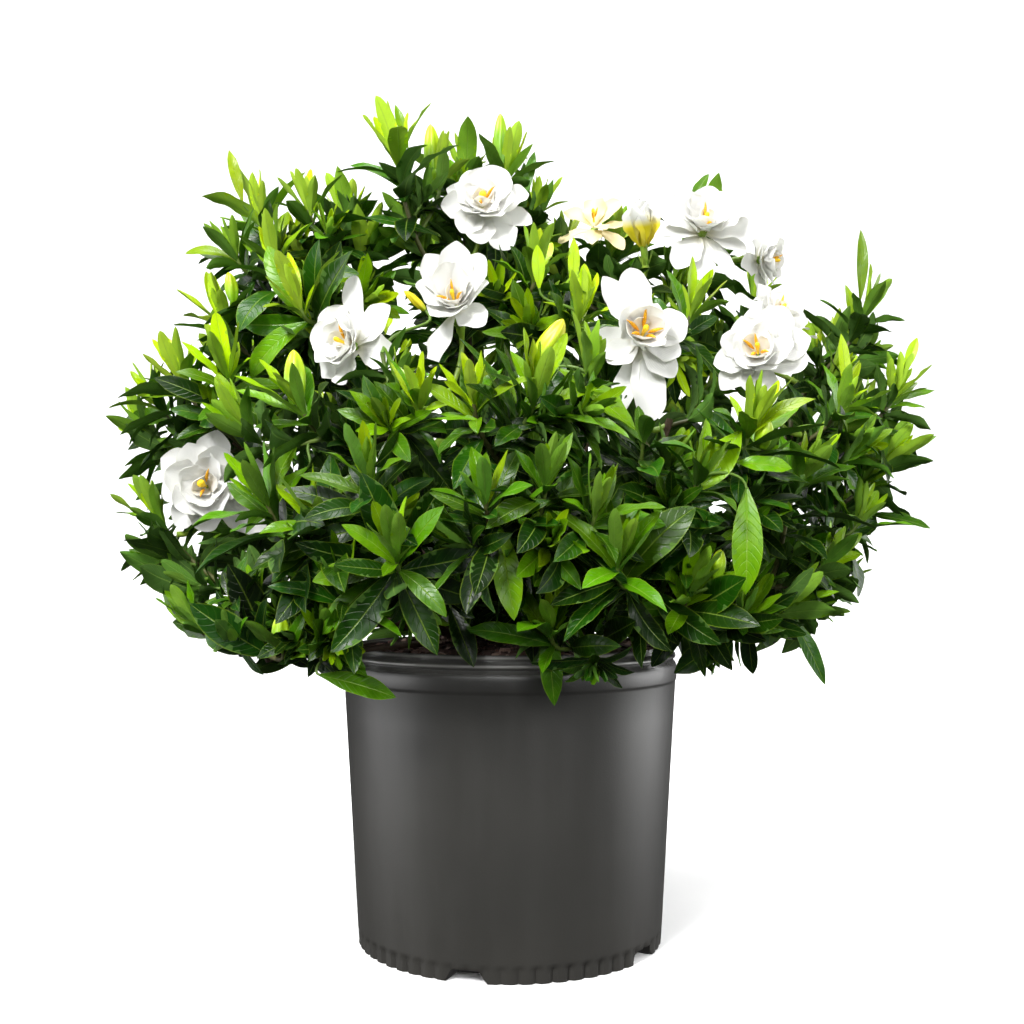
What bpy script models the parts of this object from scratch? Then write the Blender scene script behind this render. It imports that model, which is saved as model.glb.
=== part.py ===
"""Potted gardenia: a double white gardenia shrub in a round nursery pot.

Blender 4.5, metres, +Z up. The origin is at the centre of the pot's flat bottom, and the side that
is seen first faces -Y. Tables are in millimetres. Each object is one node of the assembly.
"""

import math
import random

import bmesh
import bpy
from mathutils import Matrix, Quaternion, Vector
from mathutils.bvhtree import BVHTree

MM = 0.001
UP = Vector((0, 0, 1))

# Driving dimensions of the pot, in millimetres.
RIM_RADIUS = 115.0
POT_HEIGHT = 200.0
FOOT_RADIUS = 103.5
WALL = 1.4
FLOOR = 2.4
COLLAR_DROP = 24.0  # from the top of the rim down to the collar's step
COLLAR_STEP = 0.5
WALL_INSET = 0.8  # how far the wall under the collar lies inside the collar
POT_STEPS = 48
BAY_COUNT = 5
BAY_FIRST_DEG = -15.3  # from the front, positive towards +X
BAY_HEIGHT = 8.0
BAY_MOUTH = 26.0
BAY_DEPTH = 12.0
BAY_SLOPE = 4.5  # how far each side of a bay leans in towards its top
BAY_OVERCUT = (6.0, 2.0)  # how far the cutter runs past the wall, outward and down
SEAT_GAP = 0.3  # between a piece and what carries it
CLEARANCE = 0.35  # kept round a stem

# The potting mix stands a little under the rim and mounds at the stems.
MIX_LEVEL = 186.0
MIX_MOUND = 3.0
MIX_STEPS = 24

# The crown, where the stems leave the mix.
CROWN_RADIUS = 11.0
CROWN_BOTTOM = 166.0
CROWN_TOP = 201.0
CROWN_SIDES = 8

# Woody stems: the points after the crown, in millimetres, from low to high.
STEMS = {
    "left_high": [(-38, 4, 262), (-96, 4, 345), (-140, -6, 432)],
    "left": [(-52, -6, 238), (-118, -22, 290), (-186, -34, 338)],
    "left_low": [(-52, -28, 212), (-100, -62, 216), (-152, -92, 196)],
    "top": [(-12, 8, 268), (-26, 12, 380), (-38, 10, 480)],
    "top_right": [(26, 14, 266), (62, 26, 362), (98, 34, 448)],
    "right": [(52, 0, 246), (122, 0, 300), (204, -4, 348)],
    "right_low": [(50, -30, 222), (104, -68, 226), (158, -82, 226)],
    "front": [(8, -52, 232), (10, -104, 268), (8, -142, 300)],
    "front_left": [(-34, -52, 236), (-70, -96, 278), (-96, -112, 330)],
    "front_right": [(40, -44, 240), (78, -86, 282), (100, -96, 346)],
    "back_left": [(-40, 42, 246), (-100, 92, 306), (-142, 118, 362)],
    "back": [(2, 56, 250), (4, 116, 320), (8, 146, 392)],
    "back_right": [(44, 42, 246), (108, 82, 300), (158, 104, 350)],
    "back_low_left": [(-40, 56, 220), (-98, 122, 240), (-136, 156, 256)],
    "back_low_right": [(44, 60, 220), (92, 126, 240), (130, 154, 258)],
}
STEM_BASE_RADIUS = 4.4
STEM_TIP_RADIUS = 2.2
STEM_POINTS = 7
STEM_RESOLUTION = 1  # of the curve's bevel: six sides

# Leafy shoots: each row is one side branch, given by the ends of its twigs, in millimetres.
SHOOTS = [
    # top left
    [(-177, 10, 500), (-187, -30, 466)],
    [(-141, -10, 503), (-118, 30, 506)],
    [(-194, -30, 420), (-156, -52, 455)],
    [(-106, 0, 474), (-134, -82, 420)],
    # top
    [(-78, -20, 536), (-50, 4, 530)],
    [(-33, 34, 540), (-4, 16, 536), (18, 48, 518)],
    [(17, -40, 450), (46, -64, 416)],
    [(40, 62, 496), (78, 72, 492)],
    [(146, 66, 512)],
    [(121, -42, 422)],
    # right
    [(256, 20, 436), (240, 50, 412)],
    [(270, 0, 374), (260, 36, 342)],
    [(216, -62, 358), (222, -56, 326)],
    [(262, 6, 326), (232, -40, 282)],
    [(177, -112, 308), (143, -134, 336)],
    [(200, -76, 256), (214, -30, 240)],
    [(137, -134, 224), (164, -110, 228)],
    # front
    [(104, -138, 236), (61, -174, 256), (24, -150, 218)],
    [(110, -150, 306), (78, -158, 330)],
    [(-13, -190, 290), (20, -182, 300), (48, -178, 284)],
    [(-20, -168, 346), (14, -168, 350), (46, -156, 364)],
    [(-52, -158, 346), (-78, -114, 384)],
    [(-78, -178, 302), (-62, -188, 260)],
    [(-94, -158, 240)],
    [(-125, -128, 350), (-160, -108, 338)],
    # left
    [(-214, -60, 374), (-180, -82, 376)],
    [(-242, -20, 366), (-252, 6, 344)],
    [(-230, -50, 284), (-210, -64, 244)],
    [(-194, -92, 216), (-164, -116, 206)],
    [(-134, -136, 206), (-104, -142, 210)],
    [(-142, -140, 290), (-108, -154, 280)],
    # back
    [(-214, 82, 400), (-178, 112, 442)],
    [(-236, 66, 318), (-214, 112, 288)],
    [(-150, 176, 384), (-108, 152, 440)],
    [(-172, 174, 302), (-192, 132, 240)],
    [(-62, 122, 496)],
    [(-72, 214, 340), (-112, 206, 282)],
    [(2, 112, 516), (24, 172, 458)],
    [(14, 226, 368), (-22, 236, 306)],
    [(84, 162, 450), (62, 208, 396)],
    [(122, 206, 320), (78, 222, 264)],
    [(162, 134, 424), (192, 100, 462)],
    [(228, 112, 366), (202, 152, 322)],
    [(244, 92, 284), (214, 124, 236)],
    [(150, 172, 236), (96, 196, 232)],
    [(10, 196, 236), (-36, 202, 244)],
]
SHOOT_BASE_RADIUS = 2.1
SHOOT_TIP_RADIUS = 1.4
SHOOT_POINTS = 5
SHOOT_RESOLUTION = 0  # of the curve's bevel: four sides
LOWEST_SEAT = 0.3  # share of a stem's length under which nothing branches off
HIGHEST_SEAT = 0.97
SEAT_STEPS = 20  # seats tried along each stem
SEAT_OPTIONS = 80  # best seats tried for clearance
SHORTEST_SHOOT = 26.0
SHORT_COST = 60.0  # what a shorter shoot costs, against a length in millimetres
LEAST_RISE = 22.0  # a tip should stand this far above its seat
RISE_COST = 2.2  # for each millimetre less
SQUARE_START = 3.0  # a shoot leaves its seat square to the stem for this far
PROBE_REACH = 20.0  # rays from this far out find the stem's real faces
PROBE_RAYS = 8
TWIG_FORK = 0.45  # how far along a shoot its side twigs leave
TWIG_POINTS = 4
TWIG_TAPER = 0.8
FORK_SHIFTS = (0, -0.1, 0.1, -0.2, 0.2, 0.3, -0.28)  # tried in turn, as shares of the shoot
SHOOT_SPREAD = 0.55  # how much a shoot's end leans outward: 0 is upright, 1 is level
CANOPY_CENTRE = Vector((0, 0, 270))

# Blooms: name, centre in millimetres, the way it faces, size against a full bloom.
FLOWERS = [
    ("top", (-19, -22, 504), (0.05, -0.92, 0.40), 1.0),
    ("upper_left", (-34, -112, 416), (-0.12, -0.85, 0.50), 0.9),
    ("middle_left", (-101, -102, 392), (-0.62, -0.76, 0.18), 0.95),
    ("far_left", (-197, -66, 306), (-0.05, -0.99, 0.10), 1.05),
    ("middle_right", (80, -124, 394), (0.12, -0.97, 0.20), 1.15),
    ("right_front", (160, -72, 392), (-0.22, -0.92, 0.32), 1.05),
    ("right_back", (184, -34, 432), (0.42, -0.70, 0.58), 0.95),
    ("upper_right", (137, -2, 494), (0.10, -0.80, 0.55), 1.0),
    ("nodding", (188, 34, 478), (0.78, -0.40, -0.10), 0.85),
    ("fading", (62, 40, 508), (-0.10, -0.60, 0.79), 0.85),
    ("half_open", (96, 20, 492), (-0.30, -0.35, 0.88), 0.6),
]
CALYX_LENGTH = 20.0
CALYX_RADIUS = 3.6
CALYX_BASE = 6.0  # from the petals down to where the calyx ends
PETAL_LENGTH = 31.0
PETAL_HALF_WIDTH = 11.0
PETAL_BEND = 0.10
PETAL_WHORLS = (  # petals, lift in degrees, how far behind the heart, size
    (6, 14, 6.5, 1.0),
    (4, 52, 3.0, 0.72),
)
ODD_LIFT_DEG = 4  # every other petal of a whorl stands this much higher
ODD_FORWARD = 1.6

# Leaves and petals share one closed form: flat above, keeled below, with two rings.
LENS_SIDES = 3
LENS_BANDS = 3
LENS_POWER = 1.35  # moves the widest ring past the middle
NECK_SHARE = 0.34  # half width near the base against the widest
LEAF_THICKNESS = 0.9
PETAL_THICKNESS = 0.8
LEAVES_PER_TIP = 4
LEAVES_PER_STEM = 1
LEAF_LENGTH = (40.0, 62.0)
LEAF_ASPECT = 0.155  # half width against length
LEAF_BEND = (-0.16, 0.02)
LEAF_ROOM = (1.5, 1.0, 0.6)  # kept clear past a leaf's length, half width and thickness
TIP_LEAF = (0.985, -0.045)  # share of the twig for the first leaf, and the step to the next
TIP_LIFT_DEG = (62, -13)
TIP_SIZE = (0.8, 0.05)
STEM_LEAF_SHARE = 0.66
STEM_LIFT_DEG = 8
STEM_SIZE = 0.95
GOLDEN_TURN = math.radians(137.5)
TRIES = 12
TRY_TURN = math.radians(24)  # each try swings the leaf this much further
TRY_SHRINK = 0.025

COLOURS = {
    "pot": ((0.115, 0.113, 0.104), 0.42),
    "mix": ((0.032, 0.017, 0.012), 0.95),
    "bark": ((0.130, 0.085, 0.048), 0.80),
    "leaf": ((0.055, 0.185, 0.018), 0.38),
    "petal": ((0.900, 0.895, 0.860), 0.55),
}


def clear_scene():
    for item in list(bpy.data.objects):
        bpy.data.objects.remove(item)


def collection(name, helper=False):
    made = bpy.data.collections.new(name)
    bpy.context.scene.collection.children.link(made)
    made.hide_render = helper
    return made


def material(name):
    colour, roughness = COLOURS[name]
    made = bpy.data.materials.new(name)
    made.use_nodes = True
    shader = made.node_tree.nodes["Principled BSDF"]
    shader.inputs["Base Color"].default_value = (*colour, 1)
    shader.inputs["Roughness"].default_value = roughness
    shader.inputs["Metallic"].default_value = 0.0
    return made


def place(name, mesh, home, surface=None):
    made = bpy.data.objects.new(name, mesh)
    home.objects.link(made)
    if surface:
        mesh.materials.clear()
        mesh.materials.append(surface)
    return made


def place_helper(name, mesh):
    made = place(name, mesh, HELPERS)
    made.hide_render = True
    made.display_type = "WIRE"
    return made


def combine(target, other, operation):
    step = target.modifiers.new(other.name, "BOOLEAN")
    step.object = other
    step.operation = operation
    step.solver = "EXACT"


def turned(name, profile, steps, home, surface):
    """A solid of revolution from (radius, height) points that start and end on the axis."""
    mesh = bpy.data.meshes.new(name)
    shape = bmesh.new()
    points = [shape.verts.new((radius * MM, 0, height * MM)) for radius, height in profile]
    for first, second in zip(points, points[1:]):
        shape.edges.new((first, second))
    shape.to_mesh(mesh)
    shape.free()
    made = place(name, mesh, home, surface)
    screw = made.modifiers.new("turn", "SCREW")
    screw.steps = steps
    screw.render_steps = steps
    screw.use_merge_vertices = True
    screw.merge_threshold = 0.00001
    screw.use_smooth_shade = True
    return made


# ---------------------------------------------------------------- tubes


class Tube:
    """A tapered round stem through points in millimetres."""

    def __init__(self, points, base_radius, tip_radius, resolution=SHOOT_RESOLUTION):
        self.points = [Vector(point) for point in points]
        self.resolution = resolution
        last = len(self.points) - 1
        self.radii = [base_radius + (tip_radius - base_radius) * i / last for i in range(last + 1)]

    def at(self, share):
        """Point, direction and radius at a share of the way along."""
        place_on = share * (len(self.points) - 1)
        index = min(int(place_on), len(self.points) - 2)
        along = place_on - index
        start = self.points[index]
        end = self.points[index + 1]
        radius = self.radii[index] * (1 - along) + self.radii[index + 1] * along
        return start.lerp(end, along), (end - start).normalized(), radius

    def mesh(self, name, extra=0.0):
        """The stem as a closed mesh, made by a bevelled curve whose caps are welded on."""
        curve = bpy.data.curves.new(name, "CURVE")
        curve.dimensions = "3D"
        curve.bevel_depth = MM
        curve.bevel_resolution = self.resolution
        curve.use_fill_caps = True
        line = curve.splines.new("POLY")
        line.points.add(len(self.points) - 1)
        for spot, point, radius in zip(line.points, self.points, self.radii):
            spot.co = (*(point * MM), 1)
            spot.radius = radius + extra
        guide = bpy.data.objects.new(name, curve)
        bpy.context.scene.collection.objects.link(guide)
        graph = bpy.context.evaluated_depsgraph_get()
        mesh = bpy.data.meshes.new_from_object(guide.evaluated_get(graph))
        bpy.data.objects.remove(guide)
        bpy.data.curves.remove(curve)
        shape = bmesh.new()
        shape.from_mesh(mesh)
        bmesh.ops.remove_doubles(shape, verts=shape.verts, dist=0.000001)
        bmesh.ops.recalc_face_normals(shape, faces=shape.faces)
        shape.to_mesh(mesh)
        shape.free()
        return mesh

    def outside(self, extra=0.0):
        """Points and faces of the stem, swollen by the extra radius, for the clearance test."""
        mesh = self.mesh("outside", extra)
        points = [vertex.co / MM for vertex in mesh.vertices]
        faces = [tuple(face.vertices) for face in mesh.polygons]
        bpy.data.meshes.remove(mesh)
        return points, faces


def bent(points, count):
    """Count points on a smooth curve (Catmull-Rom) through the given ones."""
    ends = [points[0] * 2 - points[1], *points, points[-1] * 2 - points[-2]]
    spans = len(points) - 1
    made = []
    for step in range(count):
        place_on = spans * step / (count - 1)
        index = min(int(place_on), spans - 1)
        t = place_on - index
        a, b, c, d = ends[index : index + 4]
        made.append(
            0.5 * (2 * b + (c - a) * t + (2 * a - 5 * b + 4 * c - d) * t**2 + (3 * b - a - 3 * c + d) * t**3)
        )
    return made


def arched(start, start_way, end, end_way, count):
    """Count points on a cubic Bezier curve with set directions at both ends."""
    reach = (end - start).length * 0.38
    handles = [start, start + start_way * reach, end - end_way * reach, end]
    made = []
    for step in range(count):
        t = step / (count - 1)
        weights = [(1 - t) ** 3, 3 * t * (1 - t) ** 2, 3 * t * t * (1 - t), t**3]
        made.append(sum((handle * weight for handle, weight in zip(handles, weights)), Vector()))
    return made


# ---------------------------------------------------------------- clearance between pieces


class Occupied:
    """Everything placed so far, so that a new leaf or stem can be kept clear of it."""

    def __init__(self):
        self.pieces = []

    def add(self, points, faces, owner):
        self.pieces.append((*bounds(points), BVHTree.FromPolygons(points, faces), owner))

    def hits(self, points, faces, own=()):
        low, high = bounds(points)
        tree = None
        for other_low, other_high, other, owner in self.pieces:
            apart = any(low[i] > other_high[i] or high[i] < other_low[i] for i in range(3))
            if apart or owner in own:
                continue
            tree = tree or BVHTree.FromPolygons(points, faces)
            if tree.overlap(other):
                return True
        return False


def bounds(points):
    low = [min(point[i] for point in points) for i in range(3)]
    high = [max(point[i] for point in points) for i in range(3)]
    return low, high


# ---------------------------------------------------------------- leaves and petals


def lens_template():
    """The coarse closed ball that every leaf and petal is shaped from."""
    shape = bmesh.new()
    bmesh.ops.create_uvsphere(shape, u_segments=LENS_SIDES, v_segments=LENS_BANDS, radius=1)
    mesh = bpy.data.meshes.new("lens")
    shape.to_mesh(mesh)
    shape.free()
    return mesh


def lens(base, way, face, length, half_width, thickness, bend):
    """Points of one leaf or petal: base, way it grows, way its upper side faces, sizes, bend."""
    side = way.cross(face).normalized()
    upper = side.cross(way).normalized()
    made = []
    for point in LENS_POINTS:
        along = ((point.z + 1) / 2) ** LENS_POWER
        middle = base + way * (length * along) + upper * (bend * length * along * along)
        ring = math.hypot(point.x, point.y)
        if ring > 0.01:
            wide = half_width * (NECK_SHARE if point.z < 0 else 1.0)
            across = side * (point.y / ring / math.sin(math.tau / LENS_SIDES))
            middle += across * wide - upper * (thickness * point.x / ring)
        made.append(middle)
    return made


def add_lens(shape, points):
    first = len(shape.verts)
    shape.from_mesh(LENS)
    shape.verts.ensure_lookup_table()
    for index, point in enumerate(points):
        shape.verts[first + index].co = point * MM


def leaf_mesh(name, leaves):
    shape = bmesh.new()
    for points in leaves:
        add_lens(shape, points)
    bmesh.ops.recalc_face_normals(shape, faces=shape.faces)
    mesh = bpy.data.meshes.new(name)
    shape.to_mesh(mesh)
    shape.free()
    return mesh


def radial(way, turn):
    """The unit vector square to way, turned by an angle from the most level one."""
    level = way.cross(UP) if abs(way.z) < 0.98 else Vector((1, 0, 0))
    return Quaternion(way, turn) @ level.normalized()


def grow_leaf(tube, share, turn, lift, length, owner, dice):
    """The first leaf near the wanted turn that clears everything, or None."""
    spot, way, radius = tube.at(share)
    longer, wider, thicker = LEAF_ROOM
    for attempt in range(TRIES):
        swing = turn + (attempt + 1) // 2 * TRY_TURN * (1 if attempt % 2 else -1)
        out = radial(way, swing)
        heading = (out * math.cos(lift) + way * math.sin(lift)).normalized()
        size = length * (1 - TRY_SHRINK * attempt)
        half = size * LEAF_ASPECT
        bend = dice.uniform(*LEAF_BEND)
        base = spot + out * (radius * 0.3)
        points = lens(base, heading, way, size, half, LEAF_THICKNESS, bend)
        start = spot + heading * radius
        room = lens(start, heading, way, size + longer, half + wider, LEAF_THICKNESS + thicker, bend)
        if not TAKEN.hits(room, LENS_FACES, own=(owner + "_stem",)):
            return points
    return None


# ---------------------------------------------------------------- pot and potting mix


def outer_radius(height):
    """Outer wall radius under the collar, which tapers evenly to the foot."""
    top = POT_HEIGHT - COLLAR_DROP
    return FOOT_RADIUS + (RIM_RADIUS - WALL_INSET - FOOT_RADIUS) * height / top


def build_pot():
    top = POT_HEIGHT
    step = POT_HEIGHT - COLLAR_DROP
    profile = [
        (0, FLOOR),
        (FOOT_RADIUS - WALL - 1.5, FLOOR),
        (outer_radius(FLOOR + 2) - WALL, FLOOR + 2),
        (outer_radius(step) - WALL, step),
        (RIM_RADIUS - 4.6, top - 9),
        (RIM_RADIUS - 5.4, top - 3),
        (RIM_RADIUS - 5.4, top - 1.4),
        (RIM_RADIUS - 4.3, top),
        (RIM_RADIUS - 3.2, top - 1.4),
        (RIM_RADIUS - 3.0, top - 3.2),
        (RIM_RADIUS - 1.0, top - 5.4),
        (RIM_RADIUS - 0.6, top - 7.2),
        (RIM_RADIUS - 2.0, top - 9),
        (RIM_RADIUS - 0.6, top - 11.6),
        (RIM_RADIUS, top - 14.5),
        (RIM_RADIUS, step + 2.2),
        (outer_radius(step) + COLLAR_STEP, step + 1.2),
        (outer_radius(step), step),
        (outer_radius(POT_HEIGHT * 0.45), POT_HEIGHT * 0.45),
        (FOOT_RADIUS, 1.2),
        (FOOT_RADIUS - 1.2, 0),
        (0, 0),
    ]
    pot = turned("nursery_pot", profile, POT_STEPS, PARTS, MATERIALS["pot"])
    for index in range(BAY_COUNT):
        combine(pot, bay_cutter(index), "DIFFERENCE")
    TAKEN.add(*round_zone(RIM_RADIUS + 1.5, POT_HEIGHT + 2), "nursery_pot")


def round_zone(radius, height):
    """Points and faces of a plain cylinder, which stands for the pot in the clearance test."""
    shape = bmesh.new()
    bmesh.ops.create_cone(
        shape,
        cap_ends=True,
        segments=MIX_STEPS,
        radius1=radius,
        radius2=radius,
        depth=height,
        matrix=Matrix.Translation((0, 0, height / 2)),
    )
    points = [vertex.co.copy() for vertex in shape.verts]
    faces = [tuple(vertex.index for vertex in face.verts) for face in shape.faces]
    shape.free()
    return points, faces


def bay_cutter(index):
    """A wedge with sloped sides that opens one drainage bay through the foot of the wall."""
    out, down = BAY_OVERCUT
    shape = bmesh.new()
    bmesh.ops.create_cube(shape, size=1)
    for vertex in shape.verts:
        upper = vertex.co.z > 0
        half = BAY_MOUTH / 2 - (BAY_SLOPE if upper else 0)
        vertex.co.x = math.copysign(half, vertex.co.x) * MM
        vertex.co.y = (-FOOT_RADIUS + (BAY_DEPTH if vertex.co.y > 0 else -out)) * MM
        vertex.co.z = (BAY_HEIGHT if upper else -down) * MM
    turn = math.radians(BAY_FIRST_DEG + index * 360 / BAY_COUNT)
    bmesh.ops.transform(shape, matrix=Matrix.Rotation(turn, 4, "Z"), verts=shape.verts)
    mesh = bpy.data.meshes.new("bay")
    shape.to_mesh(mesh)
    shape.free()
    return place_helper(f"bay_{index + 1}", mesh)


def build_mix():
    """Potting mix: fills the pot above the bays, and mounds a little at the stems."""
    low = BAY_HEIGHT + 1.0
    inset = WALL + SEAT_GAP
    foot = FOOT_RADIUS - BAY_DEPTH - 2.0
    profile = [
        (0, MIX_LEVEL + MIX_MOUND),
        (RIM_RADIUS * 0.35, MIX_LEVEL + MIX_MOUND * 0.6),
        (RIM_RADIUS * 0.75, MIX_LEVEL),
        (RIM_RADIUS - 6.5, MIX_LEVEL - 1.5),
        (outer_radius(POT_HEIGHT - COLLAR_DROP) - inset - 0.3, POT_HEIGHT - COLLAR_DROP),
        (outer_radius(low) - inset - 0.3, low),
        (foot, low),
        (foot, FLOOR + SEAT_GAP),
        (0, FLOOR + SEAT_GAP),
    ]
    mix = turned("potting_mix", profile, MIX_STEPS, PARTS, MATERIALS["mix"])
    shape = bmesh.new()
    bmesh.ops.create_cone(
        shape,
        cap_ends=True,
        segments=CROWN_SIDES,
        radius1=(CROWN_RADIUS + SEAT_GAP) * MM,
        radius2=(CROWN_RADIUS + SEAT_GAP) * MM,
        depth=40 * MM,
        matrix=Matrix.Translation((0, 0, (CROWN_BOTTOM - SEAT_GAP + 20) * MM)),
    )
    mesh = bpy.data.meshes.new("crown_pocket")
    shape.to_mesh(mesh)
    shape.free()
    combine(mix, place_helper("crown_pocket", mesh), "DIFFERENCE")


# ---------------------------------------------------------------- woody stems


def build_woody_stems():
    """The crown and the stems that grew from it, as one body."""
    shape = bmesh.new()
    depth = CROWN_TOP - CROWN_BOTTOM
    bmesh.ops.create_cone(
        shape,
        cap_ends=True,
        segments=CROWN_SIDES,
        radius1=CROWN_RADIUS * MM,
        radius2=CROWN_RADIUS * 0.8 * MM,
        depth=depth * MM,
        matrix=Matrix.Translation((0, 0, (CROWN_BOTTOM + depth / 2) * MM)),
    )
    mesh = bpy.data.meshes.new("woody_stems")
    shape.to_mesh(mesh)
    shape.free()
    crown = place("woody_stems", mesh, PARTS, MATERIALS["bark"])
    tubes = []
    for name, points in STEMS.items():
        first = Vector(points[0])
        level = Vector((first.x, first.y, 0)).normalized()
        start = level * (CROWN_RADIUS * 0.35) + UP * (CROWN_TOP - 6)
        route = bent([start, *map(Vector, points)], STEM_POINTS)
        tube = Tube(route, STEM_BASE_RADIUS, STEM_TIP_RADIUS, STEM_RESOLUTION)
        tubes.append(tube)
        combine(crown, place_helper("stem_" + name, tube.mesh("stem_" + name)), "UNION")
        TAKEN.add(*tube.outside(), "woody_stems")
    return tubes


# ---------------------------------------------------------------- leafy shoots


def outward(tip, spread):
    """The way a shoot's end points: upward, leaning away from the middle of the plant."""
    away = (Vector(tip) - CANOPY_CENTRE).normalized()
    return (UP * (1 - spread) + away * spread).normalized()


def foot_point(tree, spot, out, radius):
    """Where a flat cap of this radius stands SEAT_GAP off the carrying stem's real faces."""
    side = out.orthogonal().normalized() * radius
    offsets = [Quaternion(out, math.tau * ray / PROBE_RAYS) @ side for ray in range(PROBE_RAYS)]
    nearest = PROBE_REACH
    for offset in [*offsets, Vector()]:
        hit = tree.ray_cast(spot + out * PROBE_REACH + offset, -out)
        if hit[0] is not None:
            nearest = min(nearest, hit[3])
    return spot + out * (PROBE_REACH - nearest + SEAT_GAP)


def seat(tip, carriers, end_way, count):
    """A tube from the best carrying stem to the tip, clear of all that stands there."""
    options = []
    for carrier in carriers:
        for step in range(SEAT_STEPS + 1):
            share = LOWEST_SEAT + (HIGHEST_SEAT - LOWEST_SEAT) * step / SEAT_STEPS
            spot, way, _ = carrier.at(share)
            lacking = max(0.0, LEAST_RISE - (tip.z - spot.z))
            far = (tip - spot).length
            cost = far + RISE_COST * lacking + (SHORT_COST if far < SHORTEST_SHOOT else 0)
            options.append((cost, len(options), spot, way, carrier))
    options.sort(key=lambda option: option[:2])
    for _, _, spot, way, carrier in options[:SEAT_OPTIONS]:
        away = tip - spot
        square = away - way * away.dot(way)
        if square.length < 2:
            continue
        out = square.normalized()
        tree = BVHTree.FromPolygons(*carrier.outside())
        start = foot_point(tree, spot, out, SHOOT_BASE_RADIUS + CLEARANCE)
        points = [start, *arched(start + out * SQUARE_START, out, tip, end_way, count)]
        tube = Tube(points, SHOOT_BASE_RADIUS, SHOOT_TIP_RADIUS)
        if not TAKEN.hits(*tube.outside(CLEARANCE)):
            return tube
    return None


def fork(tube, tip, share, owner):
    """A side twig that leaves a shoot's own stem and reaches the tip."""
    for shift in FORK_SHIFTS:
        spot, way, radius = tube.at(share + shift)
        away = tip - spot
        square = (away - way * away.dot(way)).normalized()
        start_way = (square + way * 0.5).normalized()
        points = arched(spot, start_way, tip, outward(tip, SHOOT_SPREAD), TWIG_POINTS)
        twig = Tube(points, radius * TWIG_TAPER, SHOOT_TIP_RADIUS)
        if not TAKEN.hits(*twig.outside(CLEARANCE), own=(owner,)):
            return twig
    return None


def plan_shoot(number, tips, carriers):
    """The stem and twigs of one shoot, which are placed before any leaf."""
    name = f"leafy_shoot_{number:02d}"
    ends = [Vector(tip) for tip in tips]
    stem = seat(ends[0], carriers, outward(ends[0], SHOOT_SPREAD), SHOOT_POINTS)
    if stem is None:
        raise RuntimeError(f"{name} finds no seat")
    TAKEN.add(*stem.outside(), name + "_stem")
    twigs = []
    for end in ends[1:]:
        twig = fork(stem, end, TWIG_FORK, name + "_stem")
        if twig is None:
            raise RuntimeError(f"{name} finds no room for its twig to {tuple(end)}")
        twigs.append(twig)
    for twig in twigs:
        TAKEN.add(*twig.outside(), name + "_stem")
    return name, stem, twigs


def build_shoot(name, stem, twigs):
    """One shoot: its stem, joined with its twigs and leaves into one body."""
    dice = random.Random(name)
    leaves = []
    for tube in [stem, *twigs]:
        turn = dice.uniform(0, math.tau)
        count = LEAVES_PER_TIP + (LEAVES_PER_STEM if tube is stem else 0)
        for index in range(count):
            if index < LEAVES_PER_TIP:
                steps = (TIP_LEAF, TIP_LIFT_DEG, TIP_SIZE)
                share, lift_deg, size = (first + change * index for first, change in steps)
            else:
                share, lift_deg, size = STEM_LEAF_SHARE, STEM_LIFT_DEG, STEM_SIZE
            length = dice.uniform(*LEAF_LENGTH) * size
            swing = turn + GOLDEN_TURN * index
            points = grow_leaf(tube, share, swing, math.radians(lift_deg), length, name, dice)
            if points:
                leaves.append(points)
                TAKEN.add(points, LENS_FACES, name)
    body = place(name, stem.mesh(name), PARTS, MATERIALS["leaf"])
    for index, twig in enumerate(twigs):
        helper = place_helper(f"{name}_twig_{index + 1}", twig.mesh(name))
        combine(body, helper, "UNION")
    join_leaves(body, name + "_leaves", leaves)


def join_leaves(body, name, leaves):
    """Joins the leaves to their shoot, less any one that doesn't merge into one closed body."""
    helper = place_helper(name, leaf_mesh(name, leaves))
    combine(body, helper, "UNION")
    spare = 0
    while not sound(body) and spare < len(leaves):
        helper.data = leaf_mesh(name, leaves[:spare] + leaves[spare + 1 :])
        spare += 1


def sound(body):
    """True where a shape, with its modifiers, is one closed body."""
    graph = bpy.context.evaluated_depsgraph_get()
    graph.update()
    shape = bmesh.new()
    shape.from_object(body, graph)
    bmesh.ops.remove_doubles(shape, verts=shape.verts, dist=0.000001)
    closed = all(edge.is_manifold for edge in shape.edges)
    shape.verts.ensure_lookup_table()
    waiting = [shape.verts[0]]
    reached = {0}
    while waiting:
        for edge in waiting.pop().link_edges:
            for vertex in edge.verts:
                if vertex.index not in reached:
                    reached.add(vertex.index)
                    waiting.append(vertex)
    whole = len(reached) == len(shape.verts)
    shape.free()
    return closed and whole


# ---------------------------------------------------------------- blooms


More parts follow.
